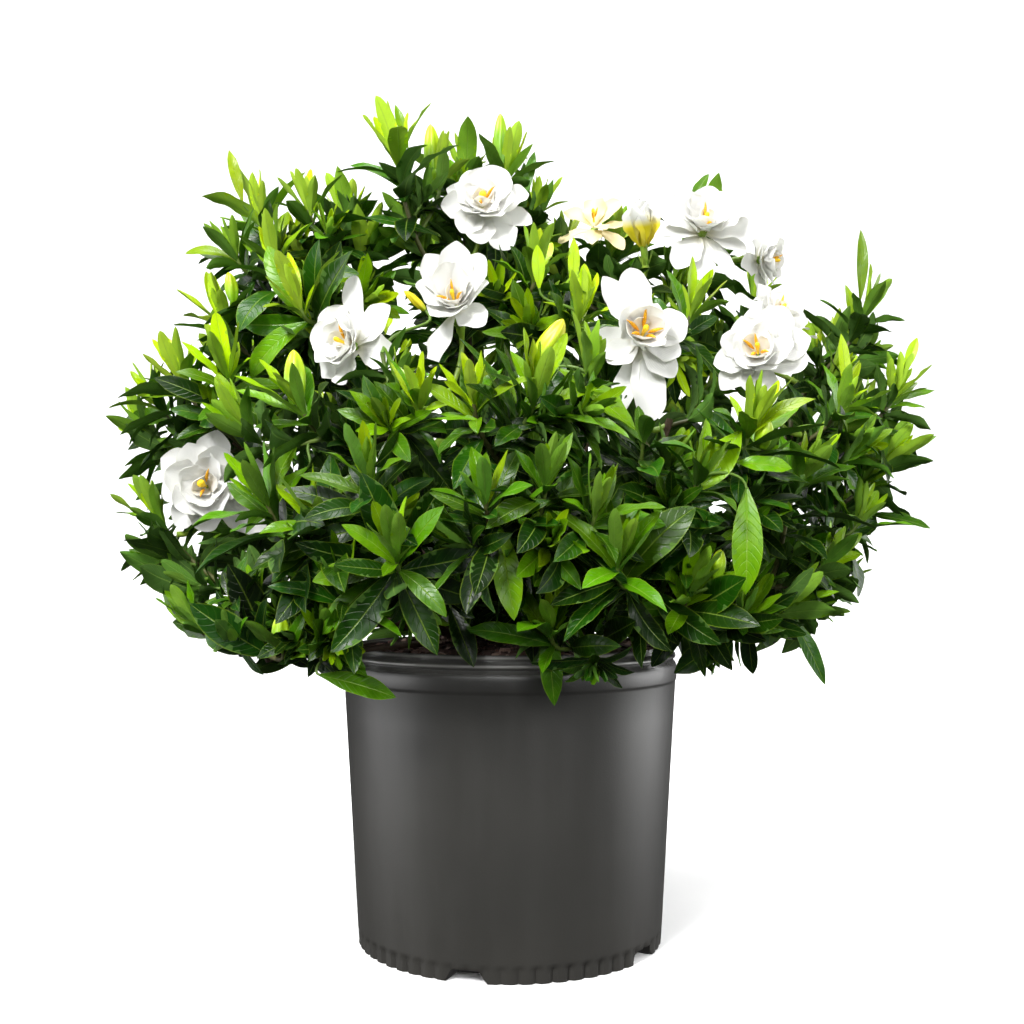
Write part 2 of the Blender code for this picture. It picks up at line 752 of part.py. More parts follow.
def plan_flower(name, centre, facing, size, carriers):
    """The stalk and calyx of one bloom, with its petals, placed before the leaves."""
    node = "flower_" + name
    facing = Vector(facing).normalized()
    heart = Vector(centre)
    foot = heart - facing * (CALYX_LENGTH * size + CALYX_BASE)
    stalk = seat(foot, carriers, facing, SHOOT_POINTS)
    if stalk is None:
        raise RuntimeError(f"{node} finds no seat")
    stalk.points.append(heart)
    stalk.radii.append(CALYX_RADIUS * size)
    petals = []
    for whorl, (count, lift_deg, back, scale) in enumerate(PETAL_WHORLS):
        for index in range(count):
            odd = index % 2
            out = radial(facing, math.tau * (index + 0.5 * whorl) / count)
            lift = math.radians(lift_deg + ODD_LIFT_DEG * odd)
            way = out * math.cos(lift) + facing * math.sin(lift)
            base = heart - facing * (back - ODD_FORWARD * odd) * size + out * size
            length = PETAL_LENGTH * size * scale
            half = PETAL_HALF_WIDTH * size * scale
            petals.append(lens(base, way, facing, length, half, PETAL_THICKNESS, PETAL_BEND))
    TAKEN.add(*stalk.outside(), node)
    for points in petals:
        TAKEN.add(points, LENS_FACES, node)
    return node, stalk, petals


def build_flower(node, stalk, petals):
    body = place(node, stalk.mesh(node), PARTS, MATERIALS["petal"])
    for index, points in enumerate(petals):
        helper = place_helper(f"{node}_petal_{index + 1}", leaf_mesh(node, [points]))
        combine(body, helper, "UNION")
    if not sound(body):
        print(node, "is not one closed body")


def main():
    build_pot()
    build_mix()
    carriers = build_woody_stems()
    shoots = [plan_shoot(index + 1, tips, carriers) for index, tips in enumerate(SHOOTS)]
    shoot_stems = [stem for _, stem, _ in shoots]
    flowers = [plan_flower(*row, carriers + shoot_stems) for row in FLOWERS]
    for shoot in shoots:
        build_shoot(*shoot)
    for flower in flowers:
        build_flower(*flower)


clear_scene()
PARTS = collection("potted_gardenia")
HELPERS = collection("helpers", helper=True)
MATERIALS = {name: material(name) for name in COLOURS}
LENS = lens_template()
LENS_POINTS = [vertex.co.copy() for vertex in LENS.vertices]
LENS_FACES = [tuple(face.vertices) for face in LENS.polygons]
TAKEN = Occupied()
main()
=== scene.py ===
"""Looks of the potted gardenia: pot, potting mix, woody stems, leafy shoots, buds and blooms.

Lengths are in millimetres until a mesh is made; shaders, lights and the camera use metres. STEMS
and SHOOTS repeat part.py's places.
"""

import math
import random

import bpy
import numpy as np
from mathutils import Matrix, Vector
from mathutils.bvhtree import BVHTree


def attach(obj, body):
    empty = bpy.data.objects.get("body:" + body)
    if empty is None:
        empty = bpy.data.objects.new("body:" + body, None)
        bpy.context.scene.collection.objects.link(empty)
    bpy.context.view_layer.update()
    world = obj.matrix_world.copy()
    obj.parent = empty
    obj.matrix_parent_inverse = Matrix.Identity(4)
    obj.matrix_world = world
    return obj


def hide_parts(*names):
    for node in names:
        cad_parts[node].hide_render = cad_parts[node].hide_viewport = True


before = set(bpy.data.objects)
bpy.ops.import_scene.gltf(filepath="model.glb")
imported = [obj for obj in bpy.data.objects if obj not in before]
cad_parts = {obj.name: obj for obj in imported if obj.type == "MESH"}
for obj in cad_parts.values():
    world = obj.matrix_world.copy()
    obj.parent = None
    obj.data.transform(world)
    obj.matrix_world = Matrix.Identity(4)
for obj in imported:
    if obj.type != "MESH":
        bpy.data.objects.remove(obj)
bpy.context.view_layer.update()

MM = 0.001
BODY = "root"
UP = np.array((0.0, 0.0, 1.0))

# ---------------------------------------------------------------- measures

RIM_RADIUS = 115.0
POT_HEIGHT = 200.0
FOOT_RADIUS = 103.5
WALL = 1.4
FLOOR = 2.4
COLLAR_DROP = 24.0
COLLAR_STEP = 0.5
WALL_INSET = 0.8  # the wall under the collar against the collar
# Rolled rim and collar from the inside round to the outside: inset from RIM_RADIUS, drop from the top.
RIM_PROFILE = [
    (5.4, 1.4), (5.0, 0.4), (4.3, 0.0), (3.6, 0.4), (3.2, 1.4), (3.0, 3.2), (2.4, 4.2), (1.4, 4.9),
    (0.7, 5.9), (0.5, 7.0), (0.9, 8.1), (1.8, 8.7), (2.3, 9.3), (1.9, 10.1), (0.8, 11.4), (0.1, 13.4),
    (0.0, 15.6),
]
RIM_SHEEN_AND_POLISH = 14.0  # how far down from the top the plastic is worn smooth and lightened with painted sheen
RIM_HIGHLIGHT_BANDS = [(1.6, 1.3), (6.8, 1.2)]  # painted highlight lines round the rim: drop from the top, half width
POT_SIDES = 240
FLUTES = 60
FLUTE_HEIGHT = 9.0
FLUTE_DEPTH = 2.2
BAY_COUNT = 5
BAY_FIRST_DEG = -15.3
BAY_HEIGHT = 8.0
BAY_MOUTH = 26.0
BAY_DEPTH = 12.0

MIX_LEVEL = 193.0
MIX_MOUND = 13.0
CRUMBS = 1500

CROWN_RADIUS = 11.0
CROWN_BOTTOM = 166.0
CROWN_TOP = 201.0

STEMS = {
    "left_high": [(-38, 4, 262), (-96, 4, 345), (-140, -6, 432)],
    "left": [(-52, -6, 238), (-118, -22, 290), (-186, -34, 338)],
    "left_low": [(-52, -28, 212), (-100, -62, 216), (-152, -92, 196)],
    "top": [(-12, 8, 268), (-26, 12, 380), (-38, 10, 480)],
    "top_right": [(26, 14, 266), (62, 26, 362), (98, 34, 448)],
    "right": [(52, 0, 246), (122, 0, 300), (204, -4, 348)],
    "right_low": [(50, -30, 222), (104, -68, 226), (158, -82, 226)],
    "front": [(8, -52, 232), (10, -104, 268), (8, -142, 300)],
    "front_left": [(-34, -52, 236), (-70, -96, 278), (-96, -112, 330)],
    "front_right": [(40, -44, 240), (78, -86, 282), (100, -96, 346)],
    "back_left": [(-40, 42, 246), (-100, 92, 306), (-142, 118, 362)],
    "back": [(2, 56, 250), (4, 116, 320), (8, 146, 392)],
    "back_right": [(44, 42, 246), (108, 82, 300), (158, 104, 350)],
    "back_low_left": [(-40, 56, 220), (-98, 122, 240), (-136, 156, 256)],
    "back_low_right": [(44, 60, 220), (92, 126, 240), (130, 154, 258)],
}
STEM_BASE_RADIUS = 4.4
STEM_TIP_RADIUS = 2.2

SHOOTS = [
    # top left
    [(-177, 10, 500), (-187, -30, 466)],
    [(-141, -10, 503), (-118, 30, 506)],
    [(-194, -30, 420), (-156, -52, 455)],
    [(-106, 0, 474), (-134, -82, 420)],
    # top
    [(-78, -20, 536), (-50, 4, 530)],
    [(-33, 34, 540), (-4, 16, 536), (18, 48, 518)],
    [(17, -40, 450), (46, -64, 416)],
    [(40, 62, 496), (78, 72, 492)],
    [(146, 66, 512)],
    [(121, -42, 422)],
    # right
    [(256, 20, 436), (240, 50, 412)],
    [(270, 0, 374), (260, 36, 342)],
    [(216, -62, 358), (222, -56, 326)],
    [(262, 6, 326), (232, -40, 282)],
    [(177, -112, 308), (143, -134, 336)],
    [(200, -76, 256), (214, -30, 240)],
    [(137, -134, 224), (164, -110, 228)],
    # front
    [(104, -138, 236), (61, -174, 256), (24, -150, 218)],
    [(110, -150, 306), (78, -158, 330)],
    [(-13, -190, 290), (20, -182, 300), (48, -178, 284)],
    [(-20, -168, 346), (14, -168, 350), (46, -156, 364)],
    [(-52, -158, 346), (-78, -114, 384)],
    [(-78, -178, 302), (-62, -188, 260)],
    [(-94, -158, 240)],
    [(-125, -128, 350), (-160, -108, 338)],
    # left
    [(-214, -60, 374), (-180, -82, 376)],
    [(-242, -20, 366), (-252, 6, 344)],
    [(-230, -50, 284), (-210, -64, 244)],
    [(-194, -92, 216), (-164, -116, 206)],
    [(-134, -136, 206), (-104, -142, 210)],
    [(-142, -140, 290), (-108, -154, 280)],
    # back
    [(-214, 82, 400), (-178, 112, 442)],
    [(-236, 66, 318), (-214, 112, 288)],
    [(-150, 176, 384), (-108, 152, 440)],
    [(-172, 174, 302), (-192, 132, 240)],
    [(-62, 122, 496)],
    [(-72, 214, 340), (-112, 206, 282)],
    [(2, 112, 516), (24, 172, 458)],
    [(14, 226, 368), (-22, 236, 306)],
    [(84, 162, 450), (62, 208, 396)],
    [(122, 206, 320), (78, 222, 264)],
    [(162, 134, 424), (192, 100, 462)],
    [(228, 112, 366), (202, 152, 322)],
    [(244, 92, 284), (214, 124, 236)],
    [(150, 172, 236), (96, 196, 232)],
    [(10, 196, 236), (-36, 202, 244)],
]
INNER_PIECES = 5
INNER_SPACING = 21.0
SHOOT_BASE_RADIUS = 2.1
SHOOT_TIP_RADIUS = 1.3
TWIG_FORK = 0.45
SHOOT_SPREAD = 0.36
SEAT_REACH = 4.6  # a CAD piece's corners this near its nearest one belong to its cut end
SEAT_DEPTH = 1.6  # and lie at most this much farther from the carrying stem
CANOPY_CENTRE = np.array((0.0, 0.0, 270.0))

# Blooms: centre, the way it faces, size against a full bloom.
FLOWERS = {
    "top": ((-19, -22, 504), (0.05, -0.92, 0.40), 1.0),
    "upper_left": ((-34, -112, 416), (-0.12, -0.85, 0.50), 0.9),
    "middle_left": ((-101, -102, 392), (-0.62, -0.76, 0.18), 0.95),
    "far_left": ((-197, -66, 306), (-0.05, -0.99, 0.10), 1.05),
    "middle_right": ((80, -124, 394), (0.12, -0.97, 0.20), 1.15),
    "right_front": ((160, -72, 392), (-0.22, -0.92, 0.32), 1.05),
    "right_back": ((180, -36, 423), (0.42, -0.70, 0.58), 0.95),
    "upper_right": ((137, -2, 494), (0.10, -0.80, 0.55), 1.0),
    "nodding": ((188, 34, 478), (0.78, -0.40, -0.10), 0.85),
    "fading": ((62, 40, 508), (-0.10, -0.60, 0.79), 0.85),
    "half_open": ((96, 20, 492), (-0.12, -0.35, 0.90), 0.85),
}
BLOOM_ROOM = 30.0  # radius kept free of leaves round a full bloom
BLOOM_VIEW = 25.0  # radius kept clear straight in front of a bloom
BLOOM_FRONT = 55.0  # how far in front of a bloom it is kept free
CALYX_LENGTH = 20.0
CALYX_RADIUS = 3.4

# Leaves that stand out one by one: base, tip, half width, youth.
LONE_LEAVES = [
    # hanging over the rim
    ((22, -132, 224), (25, -133, 173), 7.0, 0.30),
    ((40, -128, 221), (44, -130, 187), 4.5, 0.35),
    ((12, -122, 232), (15, -128, 197), 7.0, 0.05),
    ((-36, -118, 230), (-22, -130, 195), 7.5, 0.02),
    ((-110, -150, 192), (-67, -142, 178), 7.5, 0.32),
    # big ones in front
    ((-7, -178, 279), (3, -182, 226), 8.5, 0.52),
    ((28, -150, 369), (69, -162, 331), 9.0, 0.55),
    ((137, -150, 300), (135, -154, 239), 9.5, 0.50),
    ((170, -110, 226), (190, -112, 183), 5.5, 0.22),
    ((-73, -160, 249), (-105, -162, 216), 8.0, 0.34),
    ((-72, -165, 251), (-109, -176, 247), 8.5, 0.48),
    ((-64, -165, 251), (-40, -176, 254), 5.0, 0.45),
    ((45, -165, 280), (86, -176, 276), 7.5, 0.40),
    ((136, -140, 334), (113, -148, 299), 9.5, 0.62),
    ((132, -140, 315), (163, -148, 310), 6.0, 0.50),
    ((-121, -122, 314), (-158, -134, 276), 7.5, 0.50),
    # at the outline
    ((251, 0, 290), (291, -8, 280), 5.5, 0.28),
    ((265, 20, 323), (303, 14, 347), 4.5, 0.45),
    ((276, 30, 373), (308, 30, 382), 4.0, 0.45),
    ((258, 40, 448), (263, 40, 501), 4.6, 0.55),
    ((252, 36, 430), (247, 36, 460), 4.0, 0.70),
    ((231, -20, 373), (228, -20, 413), 4.5, 0.85),
    ((284, 20, 393), (293, 20, 418), 4.0, 0.80),
    ((-189, 0, 510), (-199, 0, 548), 4.2, 0.80),
    ((-49, -10, 484), (-100, -16, 497), 4.5, 0.22),
    ((-247, 20, 350), (-274, 20, 337), 4.2, 0.08),
    ((-127, -60, 394), (-138, -60, 431), 3.6, 0.80),
    ((-129, -110, 358), (-133, -112, 386), 4.6, 0.95),
    ((-73, 10, 552), (-83, 10, 584), 3.8, 0.55),
    ((10, 10, 516), (17, 10, 550), 4.0, 0.35),
    ((132, 30, 516), (144, 30, 541), 4.4, 0.40),
    ((41, -60, 434), (44, -60, 469), 4.0, 0.85),
    ((19, -70, 433), (18, -70, 462), 4.4, 0.80),
]

# Flower buds and folded young leaves: base, tip, radius, ripeness (0 is green, 1 and over yellow).
BUDS = [
    ((16, -100, 377), (33, -104, 407), 6.8, 0.75),
    ((-18, -130, 352), (-17, -134, 377), 4.8, 0.35),
    ((-64, -160, 266), (-64, -160, 284), 5.0, 0.30),
    ((-54, 6, 530), (-57, 6, 569), 5.6, 0.42),
    ((-7, 12, 542), (-7, 12, 579), 4.6, 0.16),
    ((-55, -70, 420), (-68, -76, 431), 2.6, 1.30),
    ((-165, 0, 475), (-161, -2, 444), 5.4, 1.20),
    ((-129, -118, 352), (-131, -120, 385), 6.2, 0.42),
    ((150, -130, 324), (153, -132, 342), 5.0, 0.45),
    ((-133, -140, 208), (-134, -142, 226), 4.8, 0.30),
    ((-186, -36, 432), (-190, -38, 452), 4.2, 0.40),
    ((120, -146, 246), (122, -148, 264), 4.4, 0.35),
    ((-60, 178, 470), (-62, 182, 494), 4.8, 0.40),
    ((130, 150, 440), (134, 154, 464), 4.8, 0.50),
]
BUD_SHARE = 0.14  # of a bud's length that its calyx takes

# The bare brown side branch that shows over the rim: from, to.
BARE_TWIG = ((-50, -70, 205), (-142, -128, 203))

# Places where no leaf grows, so that the mix, the rim and a bare branch show: centre, radius.
OPEN_PLACES = [
    ((-76, -92, 204), 26), ((-46, -104, 206), 24), ((-78, -122, 208), 20), ((-48, -132, 208), 18),
    ((72, -98, 205), 20), ((74, -124, 207), 16),
    ((-98, -96, 204), 17), ((-118, -104, 200), 17), ((-132, -122, 197), 13),
    ((-84, -60, 214), 20), ((-50, -66, 214), 22), ((60, -62, 212), 18),
    # under and beside blooms
    ((78, -165, 364), 27), ((90, -160, 348), 22), ((-72, -132, 400), 14),
    ((146, -104, 358), 20), ((150, -30, 462), 22), ((170, -20, 456), 16),
    # gaps at the outline
    ((-190, -60, 212), 22), ((-150, -140, 222), 12), ((-178, -110, 246), 13), ((208, -10, 228), 16),
]
SKIRT = 186.0  # no leaf hangs lower than this
SKIRT_REACH = 185.0  # past this distance from the axis the skirt rises
SKIRT_SLOPE = 0.85

# ---------------------------------------------------------------- vectors and paths


def vec(values):
    return np.array(values, float)


def unit(vector):
    return vector / max(np.linalg.norm(vector), 1e-9)


def rotated(vector, axis, angle):
    """Vector turned about a unit axis by an angle (Rodrigues)."""
    across = np.cross(axis, vector)
    along = axis * axis.dot(vector)
    return vector * math.cos(angle) + across * math.sin(angle) + along * (1 - math.cos(angle))


def smooth(low, high, value):
    t = np.clip((value - low) / (high - low), 0, 1)
    return t * t * (3 - 2 * t)


def through(points, count):
    """Count points on a smooth curve (Catmull-Rom) through the given ones."""
    points = [vec(point) for point in points]
    ends = [points[0] * 2 - points[1], *points, points[-1] * 2 - points[-2]]
    spans = len(points) - 1
    made = []
    for place in np.linspace(0, spans, count):
        index = min(int(place), spans - 1)
        t = place - index
        a, b, c, d = ends[index : index + 4]
        cubic = 2 * a - 5 * b + 4 * c - d
        made.append(0.5 * (2 * b + (c - a) * t + cubic * t**2 + (3 * b - a - 3 * c + d) * t**3))
    return np.array(made)


def arched(start, start_way, end, end_way, count):
    """Count points on a cubic Bezier curve with set directions at both ends."""
    reach = np.linalg.norm(end - start) * 0.38
    handles = np.array([start, start + start_way * reach, end - end_way * reach, end])
    t = np.linspace(0, 1, count)[:, None]
    weights = np.hstack([(1 - t) ** 3, 3 * t * (1 - t) ** 2, 3 * t**2 * (1 - t), t**3])
    return weights @ handles


def outward(tip):
    """The way a shoot's end points: upward, leaning away from the middle of the plant."""
    away = unit(tip - CANOPY_CENTRE)
    return unit(UP * (1 - SHOOT_SPREAD) + away * SHOOT_SPREAD)


def level_side(way):
    """A level unit vector square to way."""
    side = np.cross(way, UP)
    if np.linalg.norm(side) < 0.15:
        side = np.cross(way, (0.0, 1.0, 0.0))
    return unit(side)


def stem_route(points):
    """The path of one woody stem, from inside the crown through its points."""
    level = unit(vec((points[0][0], points[0][1], 0)))
    start = level * (CROWN_RADIUS * 0.35) + UP * (CROWN_TOP - 6)
    return through([start, *points], 40)


class Twig:
    """A tapered round stem along a smooth path."""

    def __init__(self, path, base_radius, tip_radius):
        self.path = path
        steps = np.linalg.norm(np.diff(path, axis=0), axis=1)
        self.marks = np.concatenate([[0], np.cumsum(steps)])
        self.length = self.marks[-1]
        self.radii = np.linspace(base_radius, tip_radius, len(path))

    def at(self, distance):
        """Point and direction at a distance from the base."""
        distance = min(max(distance, 0.0), self.length)
        index = int(np.searchsorted(self.marks, distance, side="right")) - 1
        index = min(index, len(self.path) - 2)
        span = self.marks[index + 1] - self.marks[index]
        t = (distance - self.marks[index]) / span
        point = self.path[index] * (1 - t) + self.path[index + 1] * t
        return point, unit(self.path[index + 1] - self.path[index])


# ---------------------------------------------------------------- meshes


class Shape:
    """Collects closed surfaces for one piece: points, faces, texture places and face values."""

    def __init__(self):
        self.points = []
        self.faces = []
        self.places = []
        self.values = {"youth": [], "tone": [], "under": [], "gold": []}
        self.slots = []
        self.count = 0

    def add(self, points, faces, places=None, slot=0, **values):
        points = np.asarray(points, float).reshape(-1, 3)
        if places is None:
            places = np.zeros((len(points), 2))
        self.points.append(points)
        self.places.append(np.asarray(places, float).reshape(-1, 2))
        self.faces += [tuple(index + self.count for index in face) for face in faces]
        self.count += len(points)
        self.slots += [slot] * len(faces)
        for name, kept in self.values.items():
            value = values.get(name, 0.0)
            kept.extend(value if isinstance(value, list) else [value] * len(faces))

    def build(self, name, materials, sharp_deg=50):
        mesh = bpy.data.meshes.new(name)
        points = np.vstack(self.points) * MM
        mesh.from_pydata(points.tolist(), [], self.faces)
        places = np.vstack(self.places)
        corners = np.empty(len(mesh.loops), np.int32)
        mesh.loops.foreach_get("vertex_index", corners)
        layer = mesh.uv_layers.new(name="place")
        layer.data.foreach_set("uv", places[corners].astype(np.float32).ravel())
        for kind, kept in self.values.items():
            store = mesh.attributes.new(kind, "FLOAT", "FACE")
            store.data.foreach_set("value", np.array(kept, np.float32))
        for surface in materials:
            mesh.materials.append(surface)
        mesh.polygons.foreach_set("material_index", np.array(self.slots, np.int32))
        mesh.shade_smooth()
        mesh.set_sharp_from_angle(angle=math.radians(sharp_deg))
        mesh.update()
        made = bpy.data.objects.new(name, mesh)
        bpy.context.scene.collection.objects.link(made)
        return made


def ring_faces(rings, sides, closed_start=True, closed_end=True):
    """Faces of a tube whose points are rings of the same number of sides."""
    faces = []
    for ring in range(rings - 1):
        for side in range(sides):
            after = (side + 1) % sides
            low = ring * sides
            high = low + sides
            faces.append((low + side, low + after, high + after, high + side))
    if closed_start:
        faces.append(tuple(reversed(range(sides))))
    if closed_end:
        last = (rings - 1) * sides
        faces.append(tuple(last + side for side in range(sides)))
    return faces


def add_tube(shape, path, radii, sides, slot=0, **values):
    """A closed round tube, with texture places that run round and along it."""
    path = np.asarray(path)
    ways = np.gradient(path, axis=0)
    side = level_side(unit(ways[0]))
    points = []
    places = []
    travelled = 0.0
    turns = np.linspace(0, math.tau, sides, endpoint=False)
    for index, centre in enumerate(path):
        way = unit(ways[index])
        side = unit(side - way * way.dot(side))
        across = np.cross(way, side)
        if index:
            travelled += np.linalg.norm(centre - path[index - 1])
        for turn in turns:
            points.append(centre + (side * math.cos(turn) + across * math.sin(turn)) * radii[index])
            places.append((turn / math.tau, travelled * 0.02))
    shape.add(points, ring_faces(len(path), sides), places, slot, **values)


def blade_faces(rows, columns):
    """Faces of one thin closed blade: an upper and a lower grid that share their margins and tip."""
    wide = columns + 1
    tip = rows * wide

    def upper(row, column):
        return row * wide + column

    def lower(row, column):
        if column in (0, columns):
            return upper(row, column)
        return tip + 1 + row * (columns - 1) + column - 1

    faces = []
    under = []
    for row in range(rows - 1):
        for column in range(columns):
            a, b = upper(row, column), upper(row, column + 1)
            c, d = upper(row + 1, column + 1), upper(row + 1, column)
            faces.append((a, b, c, d))
            under.append(0.0)
            a, b = lower(row, column), lower(row, column + 1)
            c, d = lower(row + 1, column + 1), lower(row + 1, column)
            faces.append((d, c, b, a))
            under.append(1.0)
    for column in range(columns):
        faces.append((upper(rows - 1, column), upper(rows - 1, column + 1), tip))
        under.append(0.0)
        faces.append((tip, lower(rows - 1, column + 1), lower(rows - 1, column)))
        under.append(1.0)
    heel = [upper(0, column) for column in range(columns, -1, -1)]
    heel += [lower(0, column) for column in range(1, columns)]
    faces.append(tuple(heel))
    under.append(1.0)
    return faces, under


LEAF_ROWS, LEAF_COLUMNS = 12, 4
PETAL_ROWS, PETAL_COLUMNS = 15, 10
PETAL_SLIM = 0.90
LEAF_FACES = blade_faces(LEAF_ROWS, LEAF_COLUMNS)
PETAL_FACES = blade_faces(PETAL_ROWS, PETAL_COLUMNS)
LEAF_MARKS = 1 - (1 - np.linspace(0, 1, LEAF_ROWS + 1)) ** 1.2
PETAL_MARKS = 1 - (1 - np.linspace(0, 1, PETAL_ROWS + 1)) ** 1.6


def bulge(v, widest, power):
    """A smooth hump from 0 to 1 and back to 0, which peaks at v = widest. A low power is rounder."""
    rise = power * widest / (1 - widest)
    return (v / widest) ** rise * ((1 - v).clip(0) / (1 - widest)) ** power


def lance_outline(v, blunt):
    """Half width of a leaf against its greatest, from petiole to tip. Blunt runs from 0 to 1."""
    pointed = bulge(v, 0.54, 0.86) * (1 - 0.22 * smooth(0.80, 0.97, v))
    rounded = bulge(v, 0.62, 0.50)
    return np.maximum(pointed * (1 - blunt) + rounded * blunt, 0.085 * (1 - smooth(0.0, 0.3, v)))


def petal_outline(v, point):
    """Half width of a petal against its greatest: narrow at the claw, widest near two thirds."""
    return np.maximum(bulge(v, 0.60, 0.42 + 0.55 * point), 0.16 * (1 - smooth(0.0, 0.4, v)))


def blade(base, way, face, length, marks, half_widths, sides, bends, wave, cup, thickness, keel):
    """Points and texture places of one blade.

    It starts along way with its upper side towards face. Marks are the rows' shares of its length.
    Bends are (arch towards its upper side, sideways sway, twist, fold of each half up from the
    midrib) in radians. Cup bends the margins up, and wave is (size, count, phase) of the ripple
    along them.
    """
    arch, sway, twist, fold = bends
    v = marks
    face = unit(face - way * way.dot(face))
    lateral = np.cross(way, face)
    angle = (arch * v**1.15)[:, None]
    aside = (sway * v)[:, None]
    ahead = way * np.cos(angle) + face * np.sin(angle)
    tangent = ahead * np.cos(aside) + lateral * np.sin(aside)
    steps = (tangent[1:] + tangent[:-1]) / 2 * length * np.diff(v)[:, None]
    centre = base + np.vstack([np.zeros(3), np.cumsum(steps, axis=0)])
    normal = face * np.cos(angle) - way * np.sin(angle)
    level = lateral * np.cos(aside) - ahead * np.sin(aside)
    turn = (twist * v)[:, None]
    across = level * np.cos(turn) + normal * np.sin(turn)
    above = normal * np.cos(turn) - level * np.sin(turn)
    s = np.linspace(-1, 1, sides + 1)[None, :]
    wide = half_widths[:, None]
    size, count, phase = wave
    ripple = size * wide * s**2 * np.sin(math.tau * count * v[:, None] + phase + 1.9 * (s > 0))
    reach = s * wide * math.cos(fold)
    rise = np.abs(s) * wide * math.sin(fold) + cup * wide * s**2 + ripple
    groove = -keel * 0.25 * (np.abs(s) < 0.1) * (1 - v[:, None] * 0.7)
    top = centre[:, None] + across[:, None] * reach[..., None]
    top = top + above[:, None] * (rise + groove)[..., None]
    deep = thickness + keel * (np.abs(s) < 0.1) * (1 - 0.75 * v[:, None])
    bottom = top - above[:, None] * deep[..., None]
    grid = top[:-1].reshape(-1, 3)
    inner = bottom[:-1, 1:-1].reshape(-1, 3)
    places = np.stack(np.broadcast_arrays((s + 1) / 2, v[:, None]), axis=-1)
    flat = [places[:-1].reshape(-1, 2), [(0.5, 1.0)], places[:-1, 1:-1].reshape(-1, 2)]
    return np.vstack([grid, centre[-1][None], inner]), np.vstack(flat)


# ---------------------------------------------------------------- leaves


class Leaf:
    """The sizes and bends of one leaf."""

    def __init__(self, base, way, face, length, half_width, youth, dice, blunt=0.0, arch=None):
        self.base = base
        self.way = unit(way)
        self.face = face
        self.length = length
        self.half_width = half_width
        self.youth = youth
        self.tone = dice.random()
        self.blunt = blunt
        self.arch = dice.uniform(-1.0, -0.15) if arch is None else arch
        self.fold = math.radians(dice.uniform(8, 26))
        self.twist = math.radians(dice.gauss(0, 22))
        self.sway = dice.gauss(0, 0.16)
        self.wave = (dice.uniform(0.05, 0.20), dice.uniform(1.6, 3.0), dice.uniform(0, math.tau))

    def points(self):
        half = lance_outline(LEAF_MARKS, self.blunt) * self.half_width
        return blade(
            self.base, self.way, self.face, self.length, LEAF_MARKS, half, LEAF_COLUMNS,
            (self.arch, self.sway, self.twist, self.fold), self.wave, -0.06, 0.32, 0.5,
        )

    def middle(self):
        """A few points along the midrib, for the clearance test."""
        face = unit(self.face - self.way * self.way.dot(self.face))
        spots = []
        for share in (0.35, 0.6, 0.85, 1.0):
            angle = self.arch * share * 0.5
            heading = self.way * math.cos(angle) + face * math.sin(angle)
            spots.append(self.base + heading * self.length * share)
        return np.array(spots)

    def add_to(self, shape):
        points, places = self.points()
        faces, under = LEAF_FACES
        shape.add(points, faces, places, slot=0, youth=self.youth, tone=self.tone, under=under)


class Kept:
    """Rooms that leaves stay out of: blooms, the pot, and a crowd of earlier leaves."""

    def __init__(self):
        blooms = FLOWERS.values()
        self.blooms = [(vec(centre), unit(vec(facing)), size) for centre, facing, size in blooms]
        self.leaves = np.empty((0, 3))
        self.buds = []

    def clear(self, spots):
        for centre, facing, size in self.blooms:
            away = spots - centre
            along = np.clip(away @ facing, -4 * size, BLOOM_FRONT)
            if (np.linalg.norm(away - along[:, None] * facing, axis=1) < BLOOM_ROOM * size).any():
                return False
            ahead = np.clip(-away[:, 1], 0, BLOOM_FRONT)
            if (np.linalg.norm(away + ahead[:, None] * (0, 1, 0), axis=1) < BLOOM_VIEW * size).any():
                return False
        for centre, radius in OPEN_PLACES + self.buds:
            if (np.linalg.norm(spots - centre, axis=1) < radius).any():
                return False
        reach = np.hypot(spots[:, 0], spots[:, 1])
        skirt = SKIRT + SKIRT_SLOPE * (reach - SKIRT_REACH).clip(0)
        if (spots[:, 2] < skirt).any():
            return False
        return not ((reach < RIM_RADIUS + 4) & (spots[:, 2] < POT_HEIGHT + 3)).any()

    def guard(self, base, tip, radius):
        """Keeps leaves off a bud and out of its front."""
        self.buds.append(((base + tip) / 2, radius + 3.0))

    def crowding(self, spots):
        """How many earlier leaf tips lie within a short way of this one's."""
        if not len(self.leaves):
            return 0
        return int((np.linalg.norm(self.leaves - spots[2], axis=1) < 8.0).sum())

    def take(self, spots):
        self.leaves = np.vstack([self.leaves, spots[1:3]])


# Leaf whorls: distance below the tip, leaves, lean from the twig in degrees, length, aspect, youth.
WHORLS = [
    (0.0, 2, 5, 26, 0.120, 1.00),
    (1.5, 3, 10, 35, 0.120, 1.00),
    (4.0, 3, 18, 41, 0.125, 0.92),
    (7.5, 3, 32, 46, 0.130, 0.72),
    (13.0, 3, 48, 51, 0.140, 0.45),
    (20.0, 3, 60, 55, 0.150, 0.26),
    (29.0, 3, 70, 56, 0.155, 0.13),
    (40.0, 3, 78, 55, 0.155, 0.07),
    (53.0, 2, 84, 53, 0.155, 0.04),
]
YOUNG_WHORLS = 3  # the first ones, whose leaves are blunt and upright
LEAF_TRIES = 6


